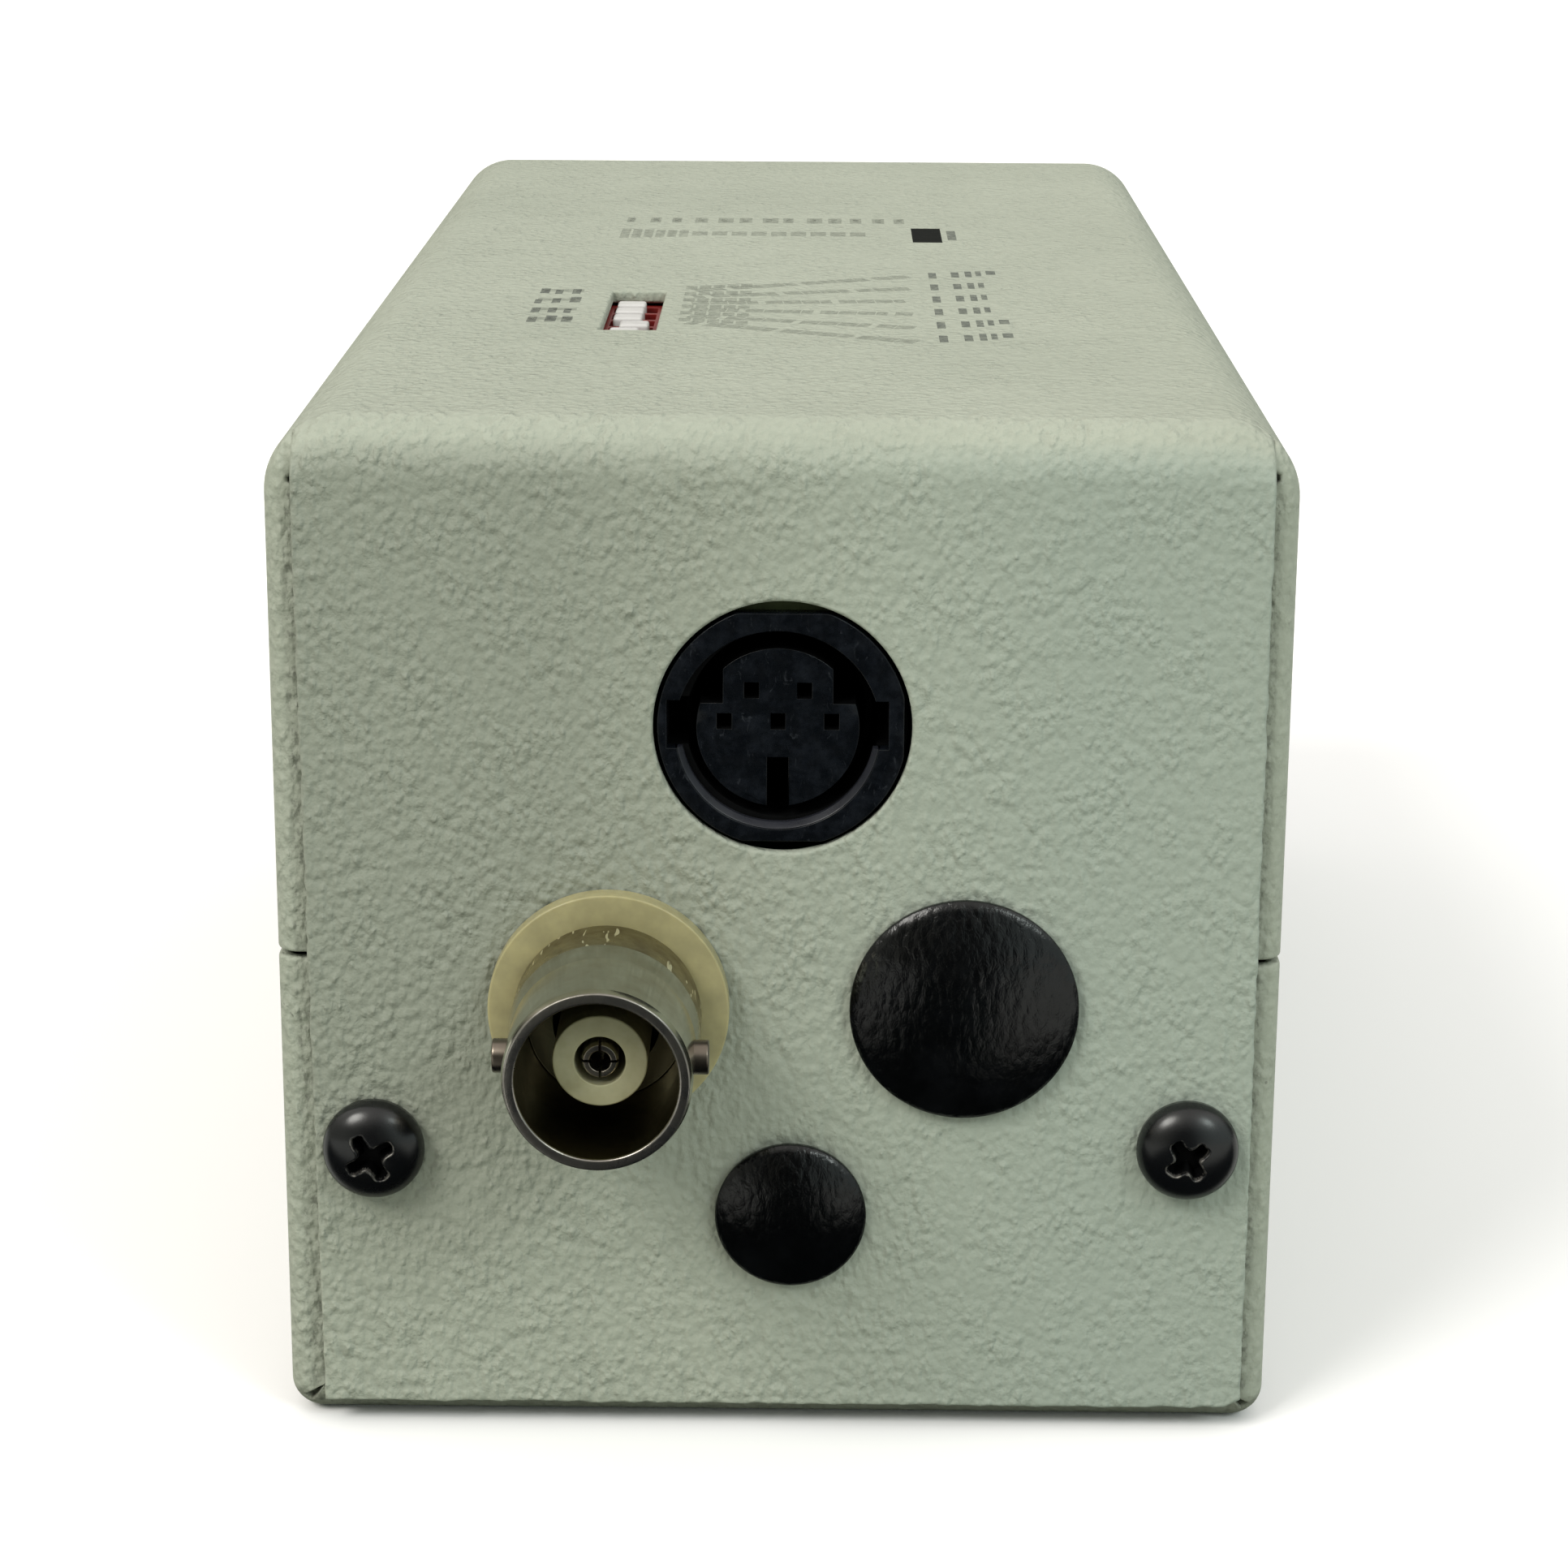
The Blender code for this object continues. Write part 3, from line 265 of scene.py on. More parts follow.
def wrinkle_paint(name, colour_low, colour_high, depth):
    """Thick textured paint: rounded pimples, fine grain, uneven tone, painted light and shade on the rear
    panel, and dirt with painted shade in the joints.
    """
    g = Graph(name)
    x, y, z = g.position()
    wrinkle = g.noise(0.6, 1.5, 0.5, (1.15, 1, 0.85), 0.1)
    pebble = g.cells(0.5, (1.2, 1, 0.9), 0.85)
    grain = g.noise(0.2, 2.0, 0.6)
    height = g.plus(g.times(wrinkle, 0.9), g.times(pebble, -0.9))
    height = g.plus(height, g.times(grain, 0.28))
    swell = g.ramp(g.noise(2.6, 2.0, 0.5), 0.35, 0.65, -0.3, 0.3)
    height = g.times(height, g.plus(g.ramp(x, -0.027, 0.02, 1.15, 0.75), swell))

    tone = g.plus(g.times(g.noise(16, 3, 0.5), 0.6), g.times(wrinkle, 0.4))
    colour = g.mix(g.ramp(tone, 0.35, 0.65), colour_low, colour_high)
    colour = g.mix(g.ramp(pebble, 0.42, 0.8, 0, 0.35), colour, darker(colour_low))
    speck = g.ramp(g.noise(0.5, 1, 0.5), 0.735, 0.77)
    patch = g.ramp(g.noise(9, 2, 0.5), 0.5, 0.62)
    colour = g.mix(g.times(g.times(speck, patch), 0.55), colour, PINHOLE)
    # Painted shade on the rear panel's left, and painted cool light on its right.
    colour = rear_panel_painted_light(g, x, y, z, colour, darker(colour_low))
    # Dirt with painted shade in the joints, and painted shade on the lip under the panel.
    colour = joint_dirt_and_shade(g, x, y, z, colour)
    return g.set(
        Base_Color=colour,
        Roughness=g.ramp(grain, 0.3, 0.7, 0.48, 0.66),
        Normal=g.bump(height, depth, 1.0),
        Specular_IOR_Level=0.35,
    )


def rear_panel_painted_light(g, x, y, z, colour, shade_colour):
    """Painted light on the rear panel: painted shade darkens its left, and a cool painted tint of the light
    from the right lies on its right.
    """
    rear = g.ramp(y, (REAR_Y + 0.1) * MM, (REAR_Y + 0.9) * MM, 1, 0)
    left_shade = g.times(g.ramp(x, -0.012, 0.006, 1, 0), g.ramp(z, 0.008, 0.02))
    colour = g.mix(g.times(rear, left_shade), colour, shade_colour)
    return g.mix(g.times(rear, g.ramp(x, -0.004, 0.016, 0, 1)), colour, RIGHT_LIGHT_TINT)


def joint_dirt_and_shade(g, x, y, z, colour):
    """Dirt and painted shade in the two joints beside the rear panel, and painted shade on the lip under
    it.
    """
    side = g.math("ABSOLUTE", x)
    behind = g.ramp(y, (REAR_Y + 0.35) * MM, (REAR_Y + 0.6) * MM)
    shallow = g.ramp(y, (REAR_Y + 1.6) * MM, (REAR_Y + 2.1) * MM, 1, 0)
    strip = g.times(g.ramp(side, 0.0244, 0.0247), g.ramp(side, 0.0254, 0.0258, 1, 0))
    below = g.ramp(z, 0.0514, 0.0519, 1, 0)
    joint = g.times(g.times(behind, shallow), g.times(strip, below))
    chips = g.ramp(g.noise(0.34, 3, 0.6, (1, 1, 0.7)), 0.52, 0.66, 0.02, 0.5)
    # Dark dirt with painted shade where the side lips meet the panel.
    colour = g.mix(g.times(joint, chips), colour, JOINT_DIRT_AND_SHADE)
    # Painted shade on the lip below the panel's lower edge.
    under = g.times(behind, g.ramp(z, 0.00125, 0.00165, 0.45, 0))
    return g.mix(g.times(shallow, under), colour, UNDERSIDE_SHADE)


def metal(name, colour, roughness, brushed=False, second=None, bump_depth=0.004, metallic=1.0):
    """Metal that is cloudy in colour and polish, with fine grain or brushing."""
    g = Graph(name)
    cloud = g.noise(2.2, 3, 0.6)
    fine = g.noise(0.25, 2, 0.6, (1, 0.12, 1)) if brushed else g.noise(0.3, 2, 0.6)
    return g.set(
        Base_Color=g.mix(g.ramp(cloud, 0.35, 0.7), colour, second or darker(colour)),
        Roughness=g.ramp(cloud, 0.3, 0.7, roughness * 0.75, roughness * 1.35),
        Metallic=metallic,
        Normal=g.bump(fine, bump_depth, 0.6),
    )


def painted_reflection_metal(name, colour, second, glint_colour):
    """Plated metal coloured olive-brown, a painted reflection of the flange and paint, with a few bright
    flecks along the barrel that are painted glints.
    """
    g = Graph(name)
    cloud = g.noise(1.4, 3, 0.6)
    base = g.mix(g.ramp(cloud, 0.35, 0.65), colour, second)
    glint = g.ramp(g.noise(0.7, 1, 0.5, (1.7, 0.35, 1.7)), 0.64, 0.66)
    return g.set(
        Base_Color=g.mix(glint, base, glint_colour),
        Roughness=g.ramp(cloud, 0.3, 0.7, 0.24, 0.4),
        Metallic=1.0,
        Normal=g.bump(cloud, 0.02, 0.5),
    )


def worn_edge(name, colour, rubbed_colour):
    """Black screw finish rubbed through to grey-brown metal along its edges, here and there."""
    g = Graph(name)
    rubbed = g.ramp(g.noise(0.5, 3, 0.6), 0.44, 0.62)
    return g.set(
        Base_Color=g.mix(rubbed, colour, rubbed_colour),
        Roughness=0.38,
        Metallic=0.6,
        Normal=g.bump(g.noise(0.3, 2, 0.6), 0.02, 0.8),
    )


def plastic(name, colour, roughness, grain_mm, depth, second=None, specular=0.5):
    """Moulded plastic or rubber, cloudy in colour, with a fine grain."""
    g = Graph(name)
    return g.set(
        Base_Color=g.mix(g.ramp(g.noise(3.0, 3, 0.55), 0.35, 0.68), colour, second or darker(colour, 0.82)),
        Roughness=g.ramp(g.noise(1.1, 3, 0.6), 0.3, 0.7, roughness * 0.8, roughness * 1.25),
        Specular_IOR_Level=specular,
        Normal=g.bump(g.noise(grain_mm, 2, 0.55), depth, 0.7),
    )


def leather_plastic(name, colour, dusty):
    """Black moulded plastic with a leather grain and a little dust."""
    g = Graph(name)
    cell = g.cells(0.62, (1.35, 1, 0.75))
    crease = g.noise(0.45, 3, 0.65, (1.4, 1, 0.7), 0.6)
    dust = g.ramp(g.noise(2.4, 3, 0.6), 0.45, 0.75, 0, 0.7)
    return g.set(
        Base_Color=g.mix(dust, colour, dusty),
        Roughness=g.ramp(crease, 0.3, 0.7, 0.15, 0.25),
        Specular_IOR_Level=0.38,
        Normal=g.bump(g.plus(g.times(cell, -0.9), g.times(crease, 1.0)), 0.042, 0.85),
    )


def scuffed_black(name, colour, dusty, scuffed):
    """Blue-black moulded plastic with dust and pale scuffs."""
    g = Graph(name)
    dust = g.ramp(g.noise(0.9, 4, 0.65), 0.42, 0.72, 0, 0.8)
    scuff = g.ramp(g.noise(0.5, 4, 0.7, (1.0, 1, 0.45), 1.2), 0.62, 0.72, 0, 0.7)
    return g.set(
        Base_Color=g.mix(scuff, g.mix(dust, colour, dusty), scuffed),
        Roughness=g.ramp(g.noise(0.6, 3, 0.6), 0.3, 0.7, 0.2, 0.34),
        Specular_IOR_Level=0.2,
        Normal=g.bump(g.noise(0.35, 3, 0.6), 0.016, 0.7),
    )


def board_material(name, colour):
    """Solder mask over faint tracks."""
    g = Graph(name)
    track = g.node("ShaderNodeTexBrick")
    track.inputs["Scale"].default_value = 260
    track.inputs["Mortar Size"].default_value = 0.03
    g.link(g.place(), track.inputs["Vector"])
    line = track.outputs["Fac"]
    return g.set(
        Base_Color=g.mix(g.times(line, 0.6), colour, darker(colour, 1.7)),
        Roughness=0.35,
        Normal=g.bump(g.math("SUBTRACT", 1.0, line), 0.02, 0.5),
    )


def clear_glass(name, colour):
    g = Graph(name)
    return g.set(
        Base_Color=colour,
        Roughness=g.ramp(g.noise(1.5, 4, 0.7), 0.5, 0.8, 0.02, 0.12),
        Transmission_Weight=1.0,
        IOR=1.5,
    )


def wax(name, colour, second):
    """Slightly translucent ivory insulator."""
    g = Graph(name)
    return g.set(
        Base_Color=g.mix(g.ramp(g.noise(1.6, 3, 0.6), 0.35, 0.65), colour, second),
        Roughness=g.ramp(g.noise(0.7, 3, 0.6), 0.3, 0.7, 0.28, 0.46),
        Subsurface_Weight=0.25,
        Subsurface_Radius=(0.0012, 0.001, 0.0005),
        Subsurface_Scale=0.6,
        Normal=g.bump(g.noise(0.4, 2, 0.5), 0.006, 0.6),
    )


def ink(name, colour, least, most):
    """Printed ink that covers unevenly, between least and most, over the paint's texture."""
    g = Graph(name)
    wrinkle = g.noise(0.95, 2.5, 0.55, (1.25, 1, 0.75), 0.35)
    g.material.blend_method = "BLEND"
    return g.set(
        Base_Color=g.mix(wrinkle, colour, darker(colour, 1.3)),
        Roughness=0.8,
        Specular_IOR_Level=0.1,
        Alpha=g.ramp(g.noise(0.45, 3, 0.6), 0.3, 0.6, least, most),
        Normal=g.bump(wrinkle, 0.05, 1.0),
    )


PAINT = wrinkle_paint("wrinkle_paint", (0.338, 0.362, 0.298), (0.38, 0.404, 0.335), 0.2)
NICKEL = metal("nickel_plate", (0.48, 0.465, 0.38), 0.16, True, (0.34, 0.31, 0.22))
SHADED_NICKEL = metal("shaded_nickel", (0.2, 0.18, 0.11), 0.2, True, (0.13, 0.11, 0.065))
# Olive-brown painted reflection with painted glints, for the shell's zone in front of the flange.
NICKEL_PAINTED_REFLECTION = painted_reflection_metal(
    "nickel_with_painted_reflection", (0.29, 0.26, 0.165), (0.17, 0.14, 0.085), (0.95, 0.93, 0.82)
)
RIM_NICKEL = metal("rubbed_nickel_rim", (0.34, 0.32, 0.29), 0.3, False, (0.16, 0.15, 0.13), 0.02)
DARK_NICKEL = metal("tarnished_nickel", (0.2, 0.17, 0.14), 0.3, False, (0.12, 0.1, 0.08))
GOLD = metal("contact_metal", (0.42, 0.38, 0.31), 0.25)
BLACK_STEEL = metal(
    "black_screw", (0.003, 0.0034, 0.0042), 0.24, False, (0.0015, 0.0016, 0.002), metallic=0.0
)
WORN_STEEL = worn_edge("worn_screw_edge", (0.012, 0.012, 0.013), (0.15, 0.142, 0.13))
ZINC = metal("zinc_plate", (0.62, 0.62, 0.6), 0.32, False, (0.5, 0.52, 0.53))
BARE_ALUMINIUM = metal("machined_aluminium", (0.78, 0.79, 0.8), 0.3, True)
BLACK_ANODISED = metal(
    "black_anodised", (0.028, 0.028, 0.031), 0.36, False, (0.04, 0.04, 0.044), 0.006, 0.6
)
COPPER = metal("copper_block", (0.72, 0.4, 0.25), 0.3)
PLUG = leather_plastic("grained_plug_plastic", (0.0008, 0.001, 0.0012), (0.004, 0.0045, 0.0055))
SOCKET = scuffed_black(
    "scuffed_socket_plastic", (0.0022, 0.003, 0.0045), (0.009, 0.011, 0.0155), (0.03, 0.033, 0.04)
)
# The lead-in's lighter grey is a painted highlight.
SOCKET_EDGE_HIGHLIGHT = plastic(
    "socket_lead_in_painted_highlight", (0.02, 0.021, 0.028), 0.3, 0.3, 0.01, (0.01, 0.011, 0.015)
)
SOCKET_WELL = plastic("shaded_socket_well", (0.0008, 0.0009, 0.0012), 0.6, 0.3, 0.01, specular=0.12)
# Olive green for the upper part of the socket housing's front step.
SOCKET_OLIVE_STEP = plastic(
    "olive_green_socket_step", (0.085, 0.105, 0.045), 0.6, 0.3, 0.02, (0.04, 0.05, 0.02), 0.2
)
IVORY = wax("ivory_insulator", (0.39, 0.35, 0.185), (0.31, 0.28, 0.15))
PALE_IVORY = wax("pale_core_insulator", (0.43, 0.41, 0.26), (0.34, 0.32, 0.19))
RED = plastic("red_switch_plastic", (0.2, 0.012, 0.01), 0.38, 0.3, 0.006)
WHITE = plastic(
    "white_slider_plastic", (0.57, 0.555, 0.55), 0.42, 0.3, 0.006, (0.5, 0.485, 0.48)
)
CERAMIC = plastic("white_ceramic", (0.82, 0.82, 0.79), 0.5, 0.2, 0.006)
CHIP = plastic("chip_plastic", (0.016, 0.016, 0.017), 0.5, 0.15, 0.006)
SENSOR = plastic("sensor_face", (0.05, 0.035, 0.06), 0.12, 0.5, 0.001, (0.02, 0.03, 0.05))
RUBBER = plastic("seal_rubber", (0.02, 0.02, 0.02), 0.7, 0.3, 0.01)
RIBBON = plastic("ribbon_insulation", (0.42, 0.42, 0.44), 0.5, 0.5, 0.02)
BOARD = board_material("green_solder_mask", (0.015, 0.12, 0.045))
GLASS = clear_glass("coated_glass", (0.86, 0.95, 0.93))
GREY_INK = ink("grey_ink", (0.11, 0.12, 0.11), 0.26136, 0.66)
FAINT_INK = ink("faint_ink", (0.17, 0.18, 0.155), 0.06936, 0.34)
BLACK_INK = ink("black_ink", (0.004, 0.005, 0.004), 0.93, 1.0)


# ---------------------------------------------------------------- mesh helpers


def case_object(name, bm):
    """Turns a mesh in case-frame millimetres into an object in metres."""
    bm.transform(Matrix.Diagonal((MM, MM, MM, 1)) @ Matrix.Translation((0, REAR_Y, 0)))
    bmesh.ops.recalc_face_normals(bm, faces=bm.faces)
    mesh = bpy.data.meshes.new(name)
    bm.to_mesh(mesh)
    bm.free()
    obj = bpy.data.objects.new(name, mesh)
    scene.collection.objects.link(obj)
    return obj


def finish_mesh(name, bm, materials, body="root", slot=None, replaces=(), angle=35):
    """Makes a finished piece from a mesh and hangs it on its body."""
    obj = case_object(name, bm)
    obj.data.shade_smooth()
    obj.data.set_sharp_from_angle(angle=math.radians(angle))
    for material in materials:
        obj.data.materials.append(material)
    made.append(obj)
    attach(obj, body)
    if replaces:
        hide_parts(*replaces)
    return obj


def fillet(points, radius):
    """A closed outline with each corner rounded. A point may carry its own radius as a third number."""
    out = []
    count = len(points)
    for index, point in enumerate(points):
        here = Vector(point[:2])
        wanted = point[2] if len(point) > 2 else radius
        if wanted <= 0:
            out.append(tuple(here))
            continue
        before = Vector(points[index - 1][:2])
        after = Vector(points[(index + 1) % count][:2])
        a, b = before - here, after - here
        if min(a.length, b.length) < 1e-9:
            continue
        angle = a.angle(b)
        if angle > math.radians(176):
            out.append(tuple(here))
            continue
        cut = min(wanted / math.tan(angle / 2), a.length * 0.48, b.length * 0.48)
        start, end = here + a.normalized() * cut, here + b.normalized() * cut
        for step in range(FILLET_STEPS + 1):
            t = step / FILLET_STEPS
            out.append(tuple((1 - t) ** 2 * start + 2 * t * (1 - t) * here + t * t * end))
    return out


def lathe_mesh(profile, centre, steps, warp=None):
    """Turns a closed (radius, y) outline about the line along y through centre (x, z)."""
    bm = bmesh.new()
    rings = []
    for step in range(steps):
        angle = 2 * math.pi * step / steps
        ring = []
        for radius, y in profile:
            r = warp(radius, y, angle) if warp else radius
            x = centre[0] + r * math.cos(angle)
            z = centre[1] + r * math.sin(angle)
            ring.append(bm.verts.new((x, y, z)))
        rings.append(ring)
    count = len(profile)
    for step in range(steps):
        a, b = rings[step], rings[(step + 1) % steps]
        for index in range(count):
            following = (index + 1) % count
            bm.faces.new((a[index], a[following], b[following], b[index]))
    bmesh.ops.remove_doubles(bm, verts=bm.verts, dist=1e-5)
    return bm


def lathe(name, profile, centre, materials, steps, radius, warp=None, **more):
    """A turned piece whose outline's corners are rounded."""
    bm = lathe_mesh(fillet(profile, radius), centre, steps, warp)
    return finish_mesh(name, bm, materials, **more)


def box_mesh(low, high, bevel=0.0, segments=3):
    bm = bmesh.new()
    bmesh.ops.create_cube(bm, size=1)
    for vert in bm.verts:
        vert.co = Vector((l + (h - l) * (c + 0.5) for l, h, c in zip(low, high, vert.co)))
    if bevel:
        edges = bm.edges[:]
        bmesh.ops.bevel(
            bm, geom=edges, offset=bevel, segments=segments, profile=0.6, affect="EDGES"
        )
    return bm


def circle(x, y, radius, count):
    turn = 2 * math.pi / count
    return [(x + radius * math.cos(i * turn), y + radius * math.sin(i * turn)) for i in range(count)]


def flat_sheet(outlines, thickness, rim):
    """A plate with holes and rounded rims in the (u, v) plane, its outer face at height 0."""
    curve = bpy.data.curves.new("flat", "CURVE")
    curve.dimensions = "2D"
    curve.fill_mode = "BOTH"
    curve.extrude = thickness / 2 - rim
    curve.bevel_depth = rim
    curve.bevel_resolution = 3
    curve.offset = -rim
    for outline in outlines:
        spline = curve.splines.new("POLY")
        spline.points.add(len(outline) - 1)
        for point, (u, v) in zip(spline.points, outline):
            point.co = (u, v, 0, 1)
        spline.use_cyclic_u = True
    flat = bpy.data.objects.new("flat", curve)
    scene.collection.objects.link(flat)
    graph = bpy.context.evaluated_depsgraph_get()
    mesh = bpy.data.meshes.new_from_object(flat.evaluated_get(graph))
    bpy.data.objects.remove(flat)
    bpy.data.curves.remove(curve)
    bm = bmesh.new()
    bm.from_mesh(mesh)
    bpy.data.meshes.remove(mesh)
    bmesh.ops.remove_doubles(bm, verts=bm.verts, dist=1e-4)
    bmesh.ops.translate(bm, verts=bm.verts, vec=(0, 0, -thickness / 2))
    return bm


def slice_mesh(bm, axis, values):
    """Adds rows of edges across the sheet, so that it can bend there."""
    normal = Vector((1, 0, 0)) if axis == "u" else Vector((0, 1, 0))
    for value in values:
        geom = bm.verts[:] + bm.edges[:] + bm.faces[:]
        bmesh.ops.bisect_plane(bm, geom=geom, plane_co=normal * value, plane_no=normal, dist=1e-5)


def spaced(low, high, count):
    return [low + (high - low) * i / count for i in range(count + 1)]


def paint_faces(obj, index, test):
    """Gives the faces whose middle passes the test another of the piece's materials."""
    for face in obj.data.polygons:
        x, y, z = (c / MM for c in face.center)
        if test(x, y - REAR_Y, z):
            face.material_index = index


def bake_modifiers(obj):
    graph = bpy.context.evaluated_depsgraph_get()
    baked = bpy.data.meshes.new_from_object(obj.evaluated_get(graph))
    obj.modifiers.clear()
    old = obj.data
    obj.data = baked
    baked.name = obj.name
    bpy.data.meshes.remove(old)


def subtract(obj, bm, name):
    """Cuts a mesh in case-frame millimetres out of a piece, and applies it."""
    cutter = case_object("cutter_" + name, bm)
    step = obj.modifiers.new("cut", "BOOLEAN")
    step.operation = "DIFFERENCE"
    step.object = cutter
    step.solver = "EXACT"
    bake_modifiers(obj)
    bpy.data.objects.remove(cutter)


# ---------------------------------------------------------------- folded case


class Fold:
    """Where the sheet's flat pattern goes once it is bent into one half of the case.

    u runs across the sheet from the middle, v is the case's y, and depth is how far below the
    outer face a point lies. up is +1 for the tray, whose flat part is the floor, and -1 for the
    cover.
    """

    def __init__(self, radius, up):
        self.radius = radius
        self.up = up
        self.flat = WIDTH / 2 - radius
        self.bend = radius * math.pi / 2

    def across(self, u):
        """The point on the section, and the direction out of the sheet there."""
        side = 1 if u >= 0 else -1
        distance = abs(u)
        if distance <= self.flat:
            x, drop, nx, nz = distance, 0.0, 0.0, 1.0
        elif distance <= self.flat + self.bend:
            turn = (distance - self.flat) / self.radius
            x = self.flat + self.radius * math.sin(turn)
            drop = self.radius * (1 - math.cos(turn))
            nx, nz = math.sin(turn), math.cos(turn)
        else:
            x = WIDTH / 2
            drop = self.radius + distance - self.flat - self.bend
            nx, nz = 1.0, 0.0
        z = drop if self.up > 0 else HEIGHT - drop
        return Vector((side * x, 0, z)), Vector((side * nx, 0, -self.up * nz))

    def u_of_x(self, x):
        side = 1 if x >= 0 else -1
        distance = abs(x)
        if distance <= self.flat:
            return x
        return side * (self.flat + self.radius * math.asin((distance - self.flat) / self.radius))

    def u_of_z(self, z):
        """The flat-pattern distance from the middle of a height on the side."""
        drop = z if self.up > 0 else HEIGHT - z
        return self.flat + self.bend + drop - self.radius

    def u_of_height(self, z):
        """The flat-pattern distance of a height within the side bend."""
        drop = z if self.up > 0 else HEIGHT - z
        return self.flat + self.radius * math.acos((self.radius - drop) / self.radius)

    def lip_bend(self, u):
        """The rear edge's bend radius, which is larger along the floor than up the sides."""
        if self.up < 0:
            return LIP_BEND
        way = min(max((abs(u) - self.flat) / self.bend, 0), 1)
        return FLOOR_LIP_BEND + (LIP_BEND - FLOOR_LIP_BEND) * way

    def lipped(self, u, v, depth):
        """The sheet with its rear edge bent inwards."""
        point, out = self.across(u)
        bend = self.lip_bend(u)
        past = LIP_FACE + bend - v
        if past <= 0:
            return point - out * depth + Vector((0, v, 0))
        turn = min(past / bend, math.pi / 2)
        beyond = max(0.0, past - bend * math.pi / 2)
        radius = bend - depth
        inward = bend - radius * math.cos(turn) + beyond
        y = LIP_FACE + bend - radius * math.sin(turn)
        return point - out * inward + Vector((0, y, 0))

    def flap(self, u, v, depth):
        """The rear panel, bent down from the top."""
        point, _ = self.across(u)
        droop = HEIGHT - point.z
        past = PANEL_BEND - v
        turn = min(max(past / PANEL_BEND, 0), math.pi / 2)
        beyond = max(0.0, past - PANEL_BEND * math.pi / 2)
        radius = PANEL_BEND - depth
        y = PANEL_BEND - radius * math.sin(turn)
        z = HEIGHT - PANEL_BEND + radius * math.cos(turn) - beyond
        fade = max(0.0, 1 - max(0.0, past) / DROOP_FADE)
        return Vector((point.x, y, z - droop * fade * fade))


# Flat-pattern v where the rear lip's bend ends, and where it starts.
LIP_BEND_END = LIP_FACE + LIP_BEND - LIP_BEND * math.pi / 2
LIP_BEND_START = LIP_FACE + LIP_BEND


def panel_v(z):
    """The flat-pattern v of a height on the rear panel."""
    return PANEL_BEND - PANEL_BEND * math.pi / 2 - (HEIGHT - PANEL_BEND - z)


def lip_v(x):
    """The flat-pattern v of a distance from the middle on the folded-in rear lip."""
    return LIP_BEND_END - (WIDTH / 2 - LIP_BEND - x)


def ragged(a, b, step, size, seed):
    """Points from a to b that wander a little, like the edge of thick paint."""
    a, b = Vector(a), Vector(b)
    count = max(1, int((b - a).length / step))
    across = Vector((-(b - a).y, (b - a).x)).normalized()
    out = []
    for i in range(count):
        here = a.lerp(b, i / count)
        sway = noise.noise(Vector((here.x * 1.7, here.y * 1.7, seed))) if i else 0
        out.append(tuple(here + across * sway * size))
    return out


def cover_corner(fold, side, edge, wide, low, high):
    """One side of the cover's pattern, from the seam round the corner hole to the panel's edge."""
    end = fold.u_of_z(SEAM_TOP)
    lip_end, hole_low, hole_high = (fold.u_of_height(z) for z in (low - 0.1, low, high))
    u_edge = fold.u_of_x(edge)
    meet_v = lip_v(abs(edge) + 0.12)
    return [
        (side * end, LIP_BEND_END - LIP_DEPTH),
        (side * lip_end, LIP_BEND_END - LIP_DEPTH),
        (side * lip_end, meet_v),
        (side * hole_low, meet_v + 0.7 * wide),
        (side * (hole_low * 0.6 + hole_high * 0.4), meet_v + wide),
        (side * hole_high, meet_v + 0.3 * wide),
        (side * (hole_high - 0.2), meet_v),
        (u_edge + side * 0.2, meet_v),
        (u_edge + side * 0.16, PANEL_BEND + 0.25),
        (u_edge, PANEL_BEND + 0.25),
        (u_edge, panel_v(PANEL_RELIEF_Z)),
    ]


def cover_outline(fold):
    """The cover's flat pattern, going round from the front right corner."""
    end = fold.u_of_z(SEAM_TOP)
    bottom = panel_v(PANEL_BOTTOM)
    relief_v = panel_v(PANEL_RELIEF_Z)
    outline = [(end, LENGTH), (-end, LENGTH)]
    for side, edge, wide, low, high in CORNER_HOLES:
        corner = cover_corner(fold, side, edge, wide, low, high)
        relief = (fold.u_of_x(edge), relief_v)
        foot = (edge + PANEL_SKEW, bottom)
        if side < 0:
            outline += corner + ragged(relief, foot, 0.45, 0.13, 3.1)
            outline += ragged(foot, (PANEL_RIGHT + PANEL_SKEW - 0.5, bottom), 0.6, 0.1, 7.7)
        else:
            start = (edge + PANEL_SKEW, bottom + 0.5)
            outline += ragged(start, relief, 0.45, 0.13, 5.3) + corner[::-1]
    return outline


def apply_fold(bm, place):
    for vert in bm.verts:
        u, v, w = vert.co
        vert.co = place(u, v, -w)


